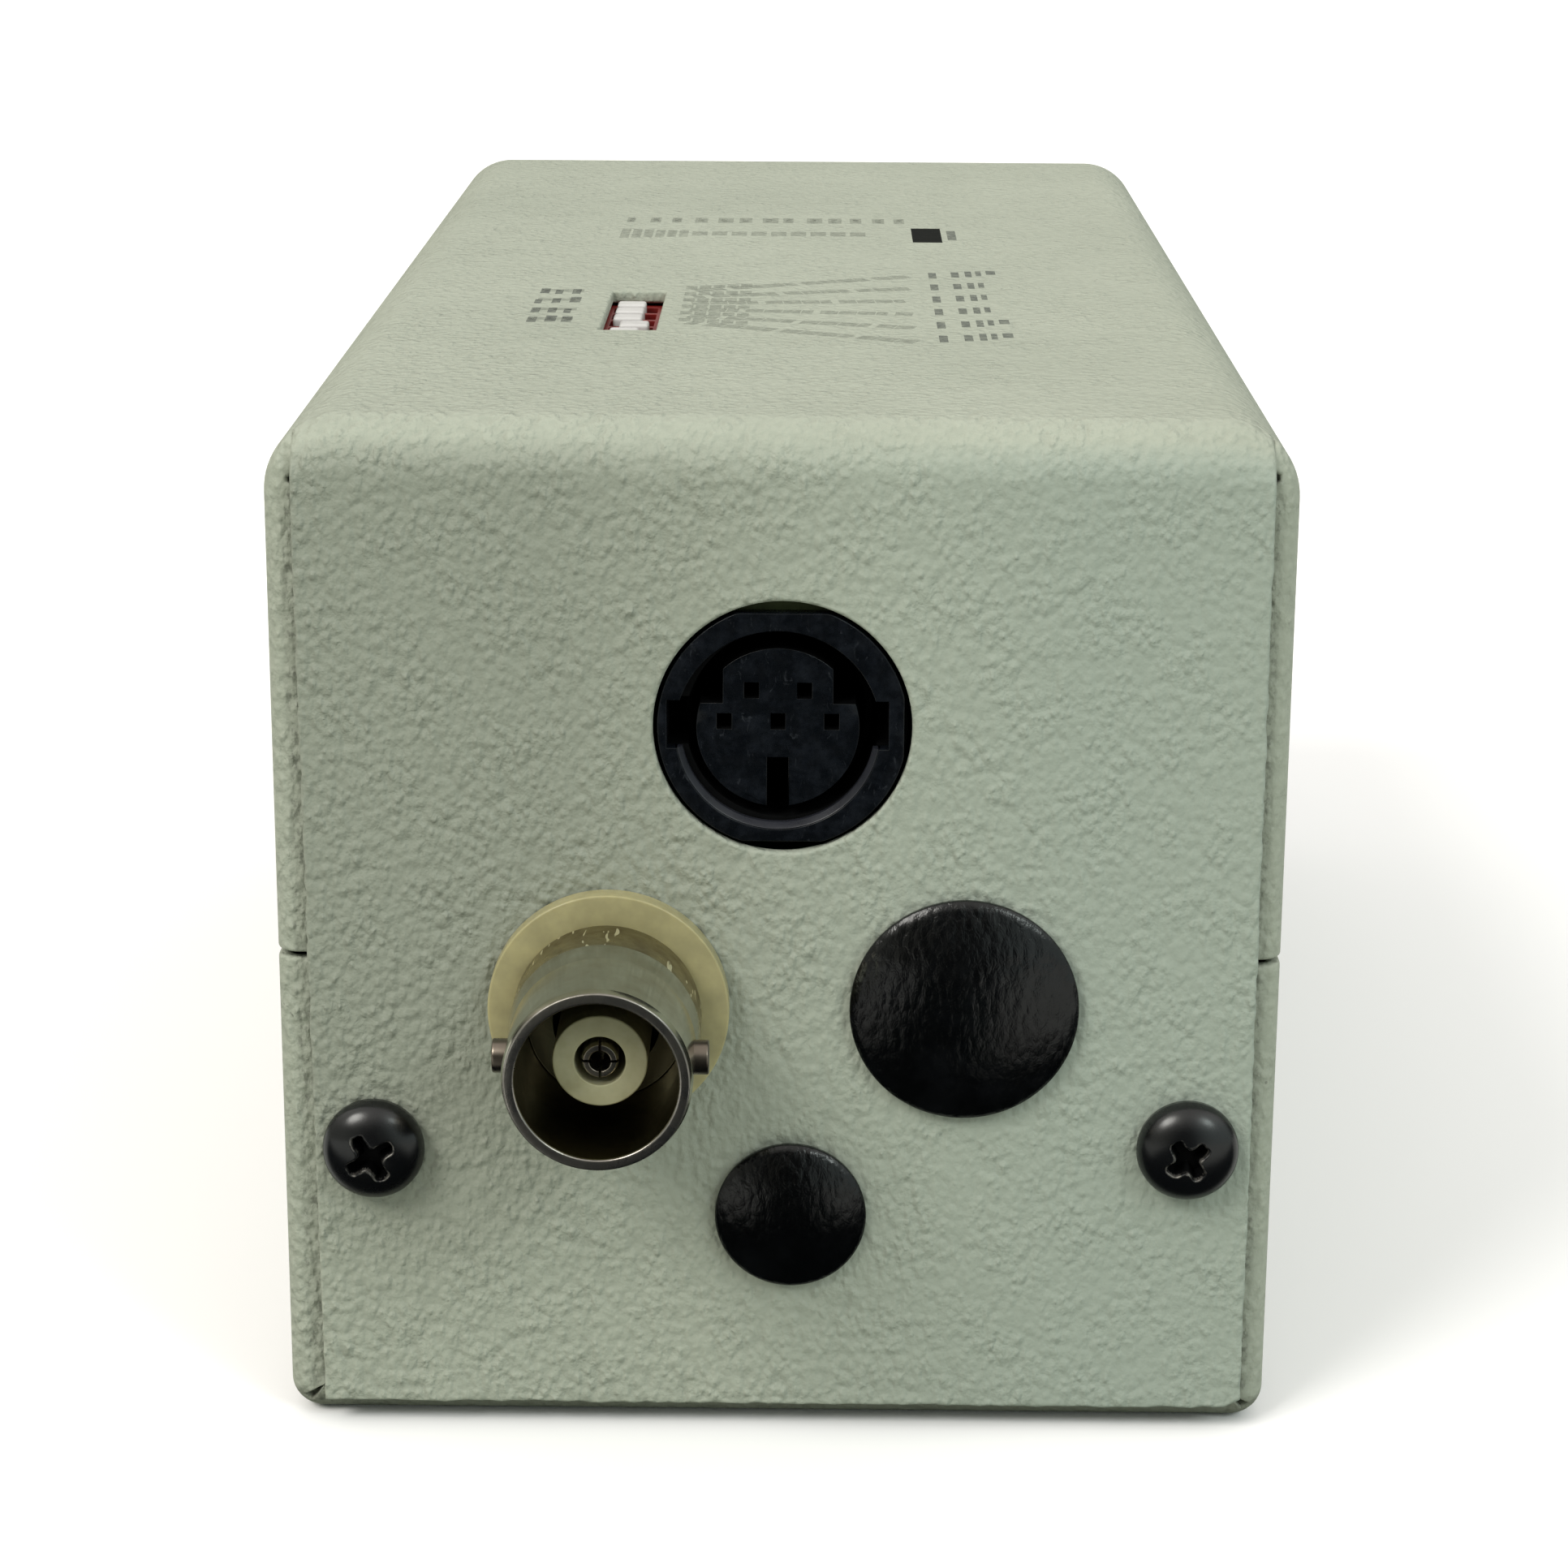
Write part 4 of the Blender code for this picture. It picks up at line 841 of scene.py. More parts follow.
def top_cover():
    """The top, the upper sides and the whole rear panel, folded from one sheet."""
    fold = Fold(TOP_RADIUS, -1)
    side_u = fold.u_of_z(UPPER_SCREW_Z)
    left, near, right, far = WINDOW
    outlines = [
        cover_outline(fold),
        circle(DIN_HOLE[0], panel_v(DIN_HOLE[1]), DIN_HOLE_RADIUS, 96),
        circle(BNC[0], panel_v(BNC[1]), BNC_HOLE, 64),
        circle(LARGE_PLUG[0], panel_v(LARGE_PLUG[1]), LARGE_PLUG_SIZE[0] - PLUG_HOLE_STEP, 64),
        circle(SMALL_PLUG[0], panel_v(SMALL_PLUG[1]), SMALL_PLUG_SIZE[0] - PLUG_HOLE_STEP, 48),
    ]
    for x, z, _, _ in REAR_SCREWS.values():
        outlines.append(circle(fold.u_of_x(x), panel_v(z), REAR_SCREW_HOLE, 32))
    outlines.append([(left, near), (right, near), (right, far), (left, far)])
    for sign in (1, -1):
        outlines.append(circle(sign * side_u, SIDE_SCREW_Y, SIDE_SCREW_HOLE, 24))
    bm = flat_sheet(outlines, SHEET, SHEET_RIM)
    for sign in (-1, 1):
        bend = spaced(fold.flat, fold.flat + fold.bend, 18)
        slice_mesh(bm, "u", [sign * u for u in bend])
    slice_mesh(bm, "v", spaced(PANEL_BEND, PANEL_BEND * (1 - math.pi / 2), 16))
    slice_mesh(bm, "v", spaced(LIP_BEND_START, LIP_BEND_START - LIP_BEND * math.pi / 2, 8))
    slice_mesh(bm, "v", [panel_v(z) for z in range(50, 36, -2)])
    inner_left, inner_right = fold.u_of_x(PANEL_LEFT) - 0.1, fold.u_of_x(PANEL_RIGHT) + 0.1

    def place(u, v, depth):
        if v < PANEL_BEND and inner_left < u < inner_right:
            return fold.flap(u, v, depth)
        return fold.lipped(u, v, depth)

    apply_fold(bm, place)
    finish_mesh(
        "case_top_cover",
        bm,
        [PAINT],
        slot="textured_grey_paint",
        replaces=("top_cover",),
        angle=40,
    )


def tray_side(fold, side):
    """One side of the tray's pattern: the seam, the screw tab, the mitred corner and the lip."""
    mitre = fold.flat + fold.bend / 2
    lip = LIP_BEND_END - 1.3
    slit = LIP_BEND_END - 0.75
    slit_end = LIP_BEND_START - 0.95

    def at(z, x):
        return (side * fold.u_of_z(z), lip_v(x))

    return [
        (side * fold.u_of_z(SEAM_BOTTOM), LIP_BEND_END - LIP_DEPTH),
        at(21.8, 22.5),
        at(21.8, 17.0),
        at(10.8, 17.0),
        at(10.8, 22.5),
        at(6.5, 22.5),
        at(6.0, 24.1),
        (side * (fold.flat + fold.bend), lip),
        (side * (mitre + MITRE_WIDE), slit),
        (side * (mitre + MITRE_NARROW), slit_end),
        (side * (mitre - MITRE_NARROW), slit_end),
        (side * (mitre - MITRE_WIDE), slit),
        (side * fold.flat, lip),
        (side * 19.0, lip),
        (side * 18.5, LIP_BEND_END - 4.8),
    ]


def bottom_tray():
    """The floor, the lower sides and the lips beside the rear panel, folded from one sheet."""
    fold = Fold(BOTTOM_RADIUS, 1)
    end = fold.u_of_z(SEAM_BOTTOM)
    outline = [(end, LENGTH), (-end, LENGTH)] + tray_side(fold, -1) + tray_side(fold, 1)[::-1]
    outlines = [outline, circle(0, BUSH_Y, 5.9, 64)]
    for sign, (x, z, _, _) in zip((-1, 1), REAR_SCREWS.values()):
        outlines.append(circle(sign * fold.u_of_z(z), lip_v(abs(x)), REAR_SCREW_HOLE, 24))
        for y in (SIDE_SCREW_Y, SPREADER_SCREW_Y):
            outlines.append(circle(sign * fold.u_of_z(LOWER_SCREW_Z), y, SIDE_SCREW_HOLE, 24))
    bm = flat_sheet(outlines, SHEET, SHEET_RIM)
    for sign in (-1, 1):
        bend = spaced(fold.flat, fold.flat + fold.bend, 14)
        slice_mesh(bm, "u", [sign * u for u in bend])
    slice_mesh(bm, "v", spaced(LIP_BEND_START + 0.7, LIP_BEND_END - 0.3, 14))
    apply_fold(bm, fold.lipped)
    finish_mesh(
        "case_bottom_tray",
        bm,
        [PAINT],
        slot="textured_grey_paint",
        replaces=("bottom_tray",),
        angle=40,
    )


# ---------------------------------------------------------------- sockets, plugs and screws


def bnc_socket():
    """The bayonet video socket: shell, two lugs, ivory flange and core, and slotted contact."""
    x, z = BNC
    bnc_shell(x, z)
    for side, sign in (("left", -1), ("right", 1)):
        pin = fillet([(0, 4.5, 0), (0.88, 4.5, 0), (0.88, 5.5), (0, 5.5, 0)], 0.12)
        bm = lathe_mesh(pin, (0, 0), 32)
        turn = Matrix.Rotation(math.radians(-90 * sign), 4, "Z")
        bm.transform(Matrix.Translation((x, LUG_Y, z)) @ turn)
        finish_mesh(f"video_socket_lug_{side}", bm, [DARK_NICKEL], slot="nickel_plated_brass")
    flange = [
        (4.95, 1.05), (4.95, -0.1), (6.35, -0.1), (6.35, -1.25, 0.12), (4.45, -1.25), (4.45, 1.05),
    ]
    insulator = {"slot": "cream_insulator"}
    lathe("video_socket_flange", flange, BNC, [IVORY], 128, 0.04,
          replaces=("bnc_insulating_flange",), **insulator)
    core = [(1.3, 9.5), (2.42, 9.5), (2.42, -8.85, 0.12), (1.3, -8.85, 0.08)]
    lathe("video_socket_core", core, BNC, [PALE_IVORY], 96, 0.04,
          replaces=("bnc_dielectric",), **insulator)
    contact = [
        (0.0, 12.0, 0), (0.95, 12.0), (0.95, -8.6), (0.85, -8.85), (0.55, -8.85), (0.55, -4.0),
        (0, -4.0, 0),
    ]
    fingers = lathe("video_socket_contact", contact, BNC, [GOLD], 64, 0.05,
                    slot="gold_plated_contact", replaces=("bnc_centre_contact",))
    for name, half_x, half_z in (("a", 1.4, 0.07), ("b", 0.07, 1.4)):
        low, high = (x - half_x, -9.5, z - half_z), (x + half_x, -6.0, z + half_z)
        subtract(fingers, box_mesh(low, high), name)


def bnc_shell(x, z):
    outline = [
        (4.1, 9.0), (4.1, -1.35), (4.6, -1.35), (4.6, -1.55), (4.92, -1.75, 0.2), (4.97, -4.9, 0.3),
        (4.97, -5.15, 0.1), (4.8, -6.8, 1.0), (4.8, -11.55, 0.2), (4.66, -12.0, 0.12),
        (4.12, -12.0, 0.14), (4.12, -3.0), (2.75, -3.0), (2.75, 9.0),
    ]
    shell = lathe("video_socket_shell", outline, BNC,
                  [NICKEL, SHADED_NICKEL, NICKEL_PAINTED_REFLECTION, RIM_NICKEL], 128, 0.06,
                  slot="nickel_plated_brass", replaces=("bnc_body",))

    def out(fx, fz):
        return math.hypot(fx - x, fz - z)

    paint_faces(shell, 1, lambda fx, fy, fz: out(fx, fz) < 4.16 and fy > -11.85)
    # The zone in front of the flange gets the painted reflection and painted glints.
    paint_faces(shell, 2, lambda fx, fy, fz: out(fx, fz) > 4.5 and -5.2 < fy < -1.3)
    paint_faces(shell, 3, lambda fx, fy, fz: fy < -11.9)


def rear_screw(side):
    """A domed screw whose cross recess is pressed into the dome, with rubbed edges."""
    x, z, degrees, reach = REAR_SCREWS[side]
    radii = spaced(2.66, 1.8, 8) + spaced(1.8, 0, 54)[1:]
    dome = [(r, HEAD_RIM_Y - HEAD_DOME * math.sqrt(1 - (r / HEAD_SPHERE) ** 2), 0) for r in radii]
    shank = [(0, 6.4, 0), (1.0, 6.4), (1.35, 6.0), (1.35, -0.1), (2.68, -0.1), (2.72, -0.5, 0.15)]
    bm = lathe_mesh(fillet(shank + dome, 0.06), (x, z), 256)

    def depth_at(vx, vz):
        px, pz = vx - x + RECESS_OFF_CENTRE[0], vz - z + RECESS_OFF_CENTRE[1]
        return cross_recess(px, pz, math.radians(degrees), reach)

    for vert in bm.verts:
        vx, vy, vz = vert.co
        if vy < HEAD_RIM_Y and math.hypot(vx - x, vz - z) < RECESS_AREA:
            vert.co.y += depth_at(vx, vz)
    head = finish_mesh(
        f"rear_screw_{side}_head",
        bm,
        [BLACK_STEEL, WORN_STEEL, SOCKET_WELL],
        slot="black_screw_steel",
        replaces=(f"rear_screw_{side}",),
        angle=70,
    )

    def lies(fx, fy, fz, low, high):
        return fy < HEAD_RIM_Y + 1.3 and low < depth_at(fx, fz) <= high

    paint_faces(head, 1, lambda *point: lies(*point, 0.004, 0.3))
    paint_faces(head, 2, lambda *point: lies(*point, 0.3, 9))


def cross_recess(px, pz, turn, reach):
    """How far the recess goes in at a point of the head: a cross with rounded wings and rolled edge."""
    a = px * math.cos(turn) + pz * math.sin(turn)
    b = pz * math.cos(turn) - px * math.sin(turn)

    def bar(along, aside):
        past = abs(along) - (reach - WING_ROUND)
        wide = abs(aside) - (WING_HALF - WING_ROUND)
        return math.hypot(max(past, 0), max(wide, 0)) + min(max(past, wide), 0) - WING_ROUND

    first, second = bar(a, b), bar(b, a)
    blend = max(WING_BLEND - abs(first - second), 0) / WING_BLEND
    inside = blend * blend * 0.075 - min(first, second)
    inside += 0.07 * noise.noise(Vector((px * 2.4 + reach * 9, pz * 2.4, 4.0)))
    rolled = min(max((inside + 0.07) / 0.12, 0), 1)
    return 0.06 * rolled * rolled + min(max((inside - 0.05) * RECESS_SLOPE, 0), RECESS_DEPTH)


def hole_plug(name, centre, size, node):
    """A sprung blanking plug: a shallow grained cap, and a barbed skirt behind the panel."""
    radius, height = size
    sagitta = height - 0.5
    sphere = (radius * radius + sagitta * sagitta) / (2 * sagitta)
    dome = []
    for step in range(1, 25):
        r = radius * (1 - step / 24)
        dome.append((r, -0.1 - height + sphere - math.sqrt(sphere * sphere - r * r), 0))
    skirt = radius - 1.15
    profile = [
        (0, 0.9, 0), (skirt - 0.9, 0.9), (skirt - 0.9, 3.4), (skirt, 3.4), (skirt + 0.3, 1.7),
        (skirt, 1.2), (skirt, -0.1), (radius - 0.05, -0.1), (radius, -0.5, 0.15),
    ]
    lathe(name, profile + dome, centre, [PLUG], 128, 0.1, slot="grained_black_plastic",
          replaces=(node,))


def din_mouth():
    """The bezel's round mouth with a notch on each side, about its own middle."""
    upper = math.asin(DIN_NOTCH_HIGH / DIN_MOUTH)
    lower = math.asin(-DIN_NOTCH_LOW / DIN_MOUTH)
    top = spaced(upper, math.pi - upper, 60)
    bottom = spaced(math.pi + lower, 2 * math.pi - lower, 60)
    mouth = [(DIN_NOTCH, DIN_NOTCH_HIGH)]
    mouth += [(DIN_MOUTH * math.cos(a), DIN_MOUTH * math.sin(a)) for a in top]
    mouth += [(-DIN_NOTCH, DIN_NOTCH_HIGH), (-DIN_NOTCH, DIN_NOTCH_LOW)]
    mouth += [(DIN_MOUTH * math.cos(a), DIN_MOUTH * math.sin(a)) for a in bottom]
    mouth += [(DIN_NOTCH, DIN_NOTCH_LOW)]
    return mouth


def din_socket():
    """The round control socket: bezel, lead-in painted lighter as a highlight, housing with an olive-green
    step, core and floor.
    """
    x, z = DIN
    bx, bz = DIN_HOLE
    black = {"slot": "black_moulded_plastic"}
    rim = []
    for px, pz in circle(0, 0, 6.5, 160):
        rim.append((bx + min(px, 6.3), bz + min(max(pz, -6.15), 6.05)))
    plate = flat_sheet([rim, [(x + px, z + pz) for px, pz in din_mouth()]], 0.95, 0.06)
    apply_fold(plate, lambda u, v, depth: Vector((u, 0.2 + depth, v)))
    finish_mesh("control_socket_bezel", plate, [SOCKET], **black)

    def notches(top):
        return box_mesh((x - DIN_NOTCH, -1, z + DIN_NOTCH_LOW), (x + DIN_NOTCH, 6.0, z + top))

    crescent = [(5.4, 1.0), (5.4, 0.5), (5.29, 0.27), (5.03, 0.66), (5.03, 1.0)]
    # The lead-in ring is painted lighter than the bezel, a painted highlight.
    lead_in = lathe("control_socket_lead_in", crescent, DIN, [SOCKET_EDGE_HIGHLIGHT], 128, 0.03, **black)
    subtract(lead_in, notches(6), "notches")
    lead_in.data.set_sharp_from_angle(angle=math.radians(35))
    tube = [(5.05, 12.3), (6.5, 12.3), (6.5, 1.15), (5.8, 1.15), (5.05, 1.15)]
    housing = finish_mesh("control_socket_housing", lathe_mesh(tube, (bx, bz), 128),
                          [SOCKET, SOCKET_WELL, SOCKET_OLIVE_STEP], replaces=("din_housing",), **black)
    subtract(housing, notches(DIN_NOTCH_HIGH), "slots")
    housing.data.set_sharp_from_angle(angle=math.radians(35))

    def out(fx, fz):
        return math.hypot(fx - bx, fz - bz)

    paint_faces(housing, 1, lambda fx, fy, fz: out(fx, fz) < 6.4)
    # The upper part of the housing's front step is coloured olive green.
    paint_faces(housing, 2, lambda fx, fy, fz: fy < 1.2 and fz > bz + 4 and out(fx, fz) > 5.9)
    din_core(x, z, black)
    back = [(0, 12.3, 0), (4.7, 12.3), (4.7, 8.6), (0, 8.6, 0)]
    lathe("control_socket_floor", back, DIN, [SOCKET_WELL], 64, 0.1, **black)


def din_core(x, z, black):
    """The core, with both upper corners cut away, a key slot and the contacts' openings."""
    solid = lathe_mesh([(0, 9.5), (4.25, 9.5), (4.25, 0.9), (0, 0.9)], (x, z), 96)
    bmesh.ops.dissolve_limit(
        solid, angle_limit=math.radians(0.5), verts=solid.verts, edges=solid.edges
    )
    core = finish_mesh("control_socket_core", solid, [SOCKET, SOCKET_WELL],
                       replaces=("din_core",), **black)
    for index, sign in enumerate((-1, 1)):
        inner, outer = sorted((sign * 2.87, sign * 6))
        corner = box_mesh((x + inner, -0.5, z + 1.3), (x + outer, 6.5, z + 6))
        subtract(core, corner, f"step{index}")
    subtract(core, box_mesh((x - 0.55, 0, z - 6), (x + 0.55, 6.5, z - 1.6)), "key")
    for index, (cx, cz) in enumerate(DIN_WAYS):
        low, high = (x + cx - 0.38, 0, z + cz - 0.42), (x + cx + 0.38, 7.0, z + cz + 0.42)
        subtract(core, box_mesh(low, high), f"way{index}")
    paint_faces(core, 1, lambda fx, fy, fz: fy > 1.3)
    round_cut_edges(core, 0.05)


def round_cut_edges(obj, width):
    """Rounds the sharp edges that the cuts left."""
    bm = bmesh.new()
    bm.from_mesh(obj.data)
    bmesh.ops.remove_doubles(bm, verts=bm.verts, dist=2e-6)
    bm.to_mesh(obj.data)
    bm.free()
    step = obj.modifiers.new("rounded_edges", "BEVEL")
    step.width = width * MM
    step.segments = 2
    step.limit_method = "ANGLE"
    step.angle_limit = math.radians(32)
    step.use_clamp_overlap = False
    bake_modifiers(obj)
    obj.data.set_sharp_from_angle(angle=math.radians(50))


# ---------------------------------------------------------------- switch


def dip_switch():
    dress(nodes["dip_switch_body"], RED, 0.06)
    for way in range(1, 7):
        node = f"dip_slider_{way}"
        low, high = (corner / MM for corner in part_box(node))
        bm = box_mesh((low.x, low.y - REAR_Y, low.z), (high.x, high.y - REAR_Y, high.z), 0.22, 4)
        finish_mesh(f"switch_slider_{way}", bm, [WHITE], body=node, slot="white_slider_plastic",
                    replaces=(node,))


# ---------------------------------------------------------------- nose and tripod bush


def focus_ring():
    recess = LENGTH - 3.3
    front = LENGTH + 2.3

    def knurl(radius, y, angle):
        if radius > RING_RADIUS - 0.3 and y > LENGTH - 1.2:
            return radius - KNURL_DEPTH * abs(math.sin(angle * KNURL_TEETH / 2)) ** 0.6
        return radius

    outline = [
        (15.5, front), (17.0, front, 0.3), (RING_RADIUS, front - 0.6, 0.1),
        (RING_RADIUS, LENGTH - 1.0, 0.05), (RING_RADIUS, recess + 1.3), (18.8, recess + 1.3),
        (18.8, recess + 0.3), (15.5, recess + 0.3),
    ]
    lathe("focus_ring_knurled", outline, (0, AXIS_Z), [BLACK_ANODISED], 540, 0.12, knurl,
          body="focus_ring", slot="black_anodised_aluminium", replaces=("focus_ring",), angle=28)


def lens_barrel():
    """The barrel that lenses screw into, its thread cut as plain grooves."""
    outline = [
        (13.3, NOSE_END, 0.05), (14.9, NOSE_END, 0.1), (15.2, NOSE_END - 0.3, 0.1),
        (15.2, BARREL_BACK, 0.1), (12.9, BARREL_BACK, 0.1),
    ]
    y = BARREL_BACK + 0.4
    while y < NOSE_END - 0.9:
        outline += [(12.7, y, 0), (12.98, y + 0.4, 0)]
        y += MOUNT_THREAD_PITCH
    lathe("lens_barrel_threaded", outline, (0, AXIS_Z), [BLACK_ANODISED], 160, 0.1,
          body="mount_barrel", slot="black_anodised_aluminium", replaces=("mount_barrel",), angle=28)


def sensor_area():
    low = (-3.3, SENSOR_FACE_Y - 0.04, AXIS_Z - 2.5)
    high = (3.3, SENSOR_FACE_Y + 0.06, AXIS_Z + 2.5)
    finish_mesh("sensor_active_area", box_mesh(low, high, 0.03), [SENSOR],
                slot="dark_sensor_package")


def tripod_bush():
    """The floor's tripod bush, its thread cut as plain grooves."""
    profile = [
        (5.6, 7.5), (5.6, 2.5), (7.5, 2.5), (7.5, 1.1), (5.6, 1.1), (5.6, 0.05, 0.25),
        (3.6, 0.05, 0.05),
    ]
    z = 0.6
    while z < 7.0:
        profile += [(3.25, z, 0), (3.75, z + 0.6, 0)]
        z += TRIPOD_THREAD_PITCH
    profile += [(3.3, 7.5, 0.05)]
    bm = lathe_mesh(fillet(profile, 0.1), (0, 0), 96)
    bm.transform(Matrix.Translation((0, BUSH_Y, 0)) @ Matrix.Rotation(math.radians(90), 4, "X"))
    finish_mesh("tripod_bush_threaded", bm, [ZINC], slot="zinc_plated_steel",
                replaces=("tripod_bush",), angle=28)


# ---------------------------------------------------------------- print on the top


def dash(bm, x0, y0, x1, y1, width):
    """A thin printed line from one point of the top to another."""
    a, b = Vector((x0, y0)), Vector((x1, y1))
    along = (b - a).normalized()
    across = Vector((-along.y, along.x)) * width / 2
    points = [a - across, b - across, b + across, a + across]
    low = [bm.verts.new((p.x, p.y, HEIGHT - PRINT_SINK)) for p in points]
    high = [bm.verts.new((p.x, p.y, HEIGHT + PRINT_LIFT)) for p in points]
    bm.faces.new(high)
    bm.faces.new(low[::-1])
    for i in range(4):
        j = (i + 1) % 4
        bm.faces.new((low[i], low[j], high[j], high[i]))


def spot(bm, x, y, wide, long):
    dash(bm, x - wide / 2, y, x + wide / 2, y, long)


def label_beside_window(grey, faint):
    """Four short rows left of the switch window."""
    for row in range(4):
        y = 33.2 + row * 3.7
        for column in range(3):
            sway = noise.noise(Vector((row * 1.3, column * 1.7, 2.0)))
            x = -15.1 + column * 1.0 + 0.3 * sway
            spot(grey, x, y + sway, 0.55 + 0.3 * sway, 1.9 + 0.8 * sway)
        spot(faint, -14.0, y + 0.3, 2.6, 1.0)


def fan_and_table(grey, faint, way):
    """One switch way's broken line out from the window, and its row of the table."""
    fan_start, fan_length = -5.9, 13.4
    y_start = 32.4 + way * 2.5
    y_end = 25.9 + way * 5.1
    for piece in range(12):
        t0 = piece / 12
        t1 = t0 + (0.05 if piece % 4 == way % 4 else 0.078)
        x0, x1 = fan_start + fan_length * t0, fan_start + fan_length * t1
        y0, y1 = y_start + (y_end - y_start) * t0, y_start + (y_end - y_start) * t1
        dash(faint, x0, y0, x1, y1, 1.25)
    for piece in range(5):
        y = y_start + 1.2 + 0.35 * piece * (way - 2.5) / 3
        spot(faint, -6.1 + piece * 0.85, y, 0.7, 1.3)
    y = 27.1 + way * 4.96
    for x, step, wide, long in (
        (9.0, 0, 0.5, 2.4),
        (10.45, 0.4, 0.5, 2.2),
        (11.3, 0.7, 0.42, 2.4),
        (11.95, 1.0, 0.36, 2.0),
    ):
        spot(grey, x, y + step, wide, long)
    if way in (0, 1, 5):
        spot(grey, 12.75, y + 1.4, 0.6, 1.6)


def far_rows(grey, faint, black):
    """Two rows of marks near the front, with a dark block beside them."""
    for index in range(13):
        x = -11.2 + index * 1.55
        sway = noise.noise(Vector((index * 1.7, 0.5, 6.0)))
        spot(faint, x + 0.4 * sway, 77.8, 0.8 + 0.5 * sway, 2.6)
        spot(faint, x + 0.2 * sway, 77.8, 0.4, 1.6)
    for index in range(6):
        spot(faint, -11.5 + index * 0.8, 70.9, 0.62, 4.6 - 0.3 * index)
    for index in range(9):
        spot(faint, -6.4 + index * 1.35, 71.0, 1.05, 2.0)
    spot(black, 9.1, 70.7, 2.0, 7.0)
    spot(grey, 10.8, 70.7, 0.6, 4.6)


def printed_marks():
    """Generic printed marks: rows of dashes, a fan of lines, a table of dots and a dark block."""
    grey, faint, black = bmesh.new(), bmesh.new(), bmesh.new()
    label_beside_window(grey, faint)
    for way in range(6):
        fan_and_table(grey, faint, way)
    far_rows(grey, faint, black)
    for name, bm, material in (
        ("print_marks_grey", grey, GREY_INK),
        ("print_marks_faint", faint, FAINT_INK),
        ("print_block_black", black, BLACK_INK),
    ):
        finish_mesh(name, bm, [material], slot="textured_grey_paint")


# ---------------------------------------------------------------- CAD nodes that stay


def dress(obj, material, bevel):
    """Gives a CAD node its finish and softened edges."""
    obj.data.materials.clear()
    obj.data.materials.append(material)
    for face in obj.data.polygons:
        face.material_index = 0
    if bevel:
        weld = obj.modifiers.new("weld", "WELD")
        weld.merge_threshold = 0.000001
        step = obj.modifiers.new("soft_edges", "BEVEL")
        step.width = bevel * MM
        step.segments = 2
        step.limit_method = "ANGLE"
        step.angle_limit = math.radians(40)
        step.use_clamp_overlap = True


def dress_cad_nodes():
    screws = [n for n in nodes if n.startswith(("side_screw", "spreader_screw"))]
    pillars = [n for n in nodes if n.startswith("pillar")]
    kinds = {
        BLACK_ANODISED: ["front_plate", "sensor_chamber", "window_retainer", "filter_capacitor"],
        BLACK_STEEL: ["lock_screw"] + screws,
        ZINC: ["ring_retainer", "clinch_nut_left", "clinch_nut_right"] + pillars,
        NICKEL: ["bnc_nut", "bnc_solder_tag"],
        SOCKET_WELL: ["din_shield"],
        BARE_ALUMINIUM: ["heat_spreader"],
        COPPER: ["cold_finger"],
        CHIP: ["timing_chip"],
        CERAMIC: ["peltier_module"],
        SENSOR: ["ccd_sensor"],
        RUBBER: ["window_seal"],
        RIBBON: ["ribbon_cable"],
        GLASS: ["sensor_window"],
        BOARD: ["switch_board", "rear_board", "video_board", "sensor_board"],
    }
    for material, names in kinds.items():
        for name in names:
            dress(nodes[name], material, 0.0 if material in (GLASS, RUBBER) else 0.08)


# ---------------------------------------------------------------- stage, lights and camera


# How a mirrored ray sees the floor: lit, but dark close to the back and in a wedge out from it.
FLOOR_SEEN = (0.97, 0.955, 0.975)
FLOOR_BOUNCE = (0.45, 0.475, 0.43)
FLOOR_MIRRORED = (0.6, 0.61, 0.6)
FLOOR_DARK = (0.006, 0.008, 0.011)
WEDGE_START_Y = -0.06
WEDGE_SPREAD = 0.32


def floor_material():
    g = Graph("pale_floor")
    path = g.node("ShaderNodeLightPath")
    x, y, _ = g.position()
    forward = g.math("SUBTRACT", WEDGE_START_Y, y)
    beside = g.math("SUBTRACT", g.math("ABSOLUTE", x), g.times(forward, WEDGE_SPREAD))
    wedge = g.ramp(beside, 0.004, 0.024, 1, 0)
    near = g.ramp(forward, 0.016, 0.032, 1, 0)
    dark = g.times(g.math("MAXIMUM", wedge, near), g.ramp(forward, -0.012, -0.006))
    mirrored = g.mix(dark, FLOOR_MIRRORED, FLOOR_DARK)
    bounce = g.mix(path.outputs["Is Glossy Ray"], FLOOR_BOUNCE, mirrored)
    return g.set(
        Base_Color=g.mix(path.outputs["Is Camera Ray"], bounce, FLOOR_SEEN),
        Roughness=0.9,
        Specular_IOR_Level=0.1,
    )


def stage():
    bm = bmesh.new()
    bmesh.ops.create_grid(bm, x_segments=2, y_segments=2, size=6)
    mesh = bpy.data.meshes.new("studio_floor")
    bm.to_mesh(mesh)
    bm.free()
    floor = bpy.data.objects.new("studio_floor", mesh)
    floor.location = (0, 0, -0.00002)
    scene.collection.objects.link(floor)
    mesh.materials.append(floor_material())
    sky()
    sun("key_left", (-0.55, -0.55, 0.7), 1.6, 24, (1.0, 0.985, 0.93))
    sun("key_right", (0.55, -0.62, 0.62), 0.52, 14, (0.9, 1.0, 0.97))
    scene.view_settings.view_transform = "Standard"


def sun(name, towards, strength, softness, colour):
    """A distant light that shines from a direction, softness degrees wide."""
    data = bpy.data.lights.new(name, "SUN")
    data.energy = strength
    data.angle = math.radians(softness)
    data.color = colour
    obj = bpy.data.objects.new(name, data)
    obj.location = Vector(towards) * 0.5
    obj.rotation_euler = (-obj.location).to_track_quat("-Z", "Y").to_euler()
    scene.collection.objects.link(obj)


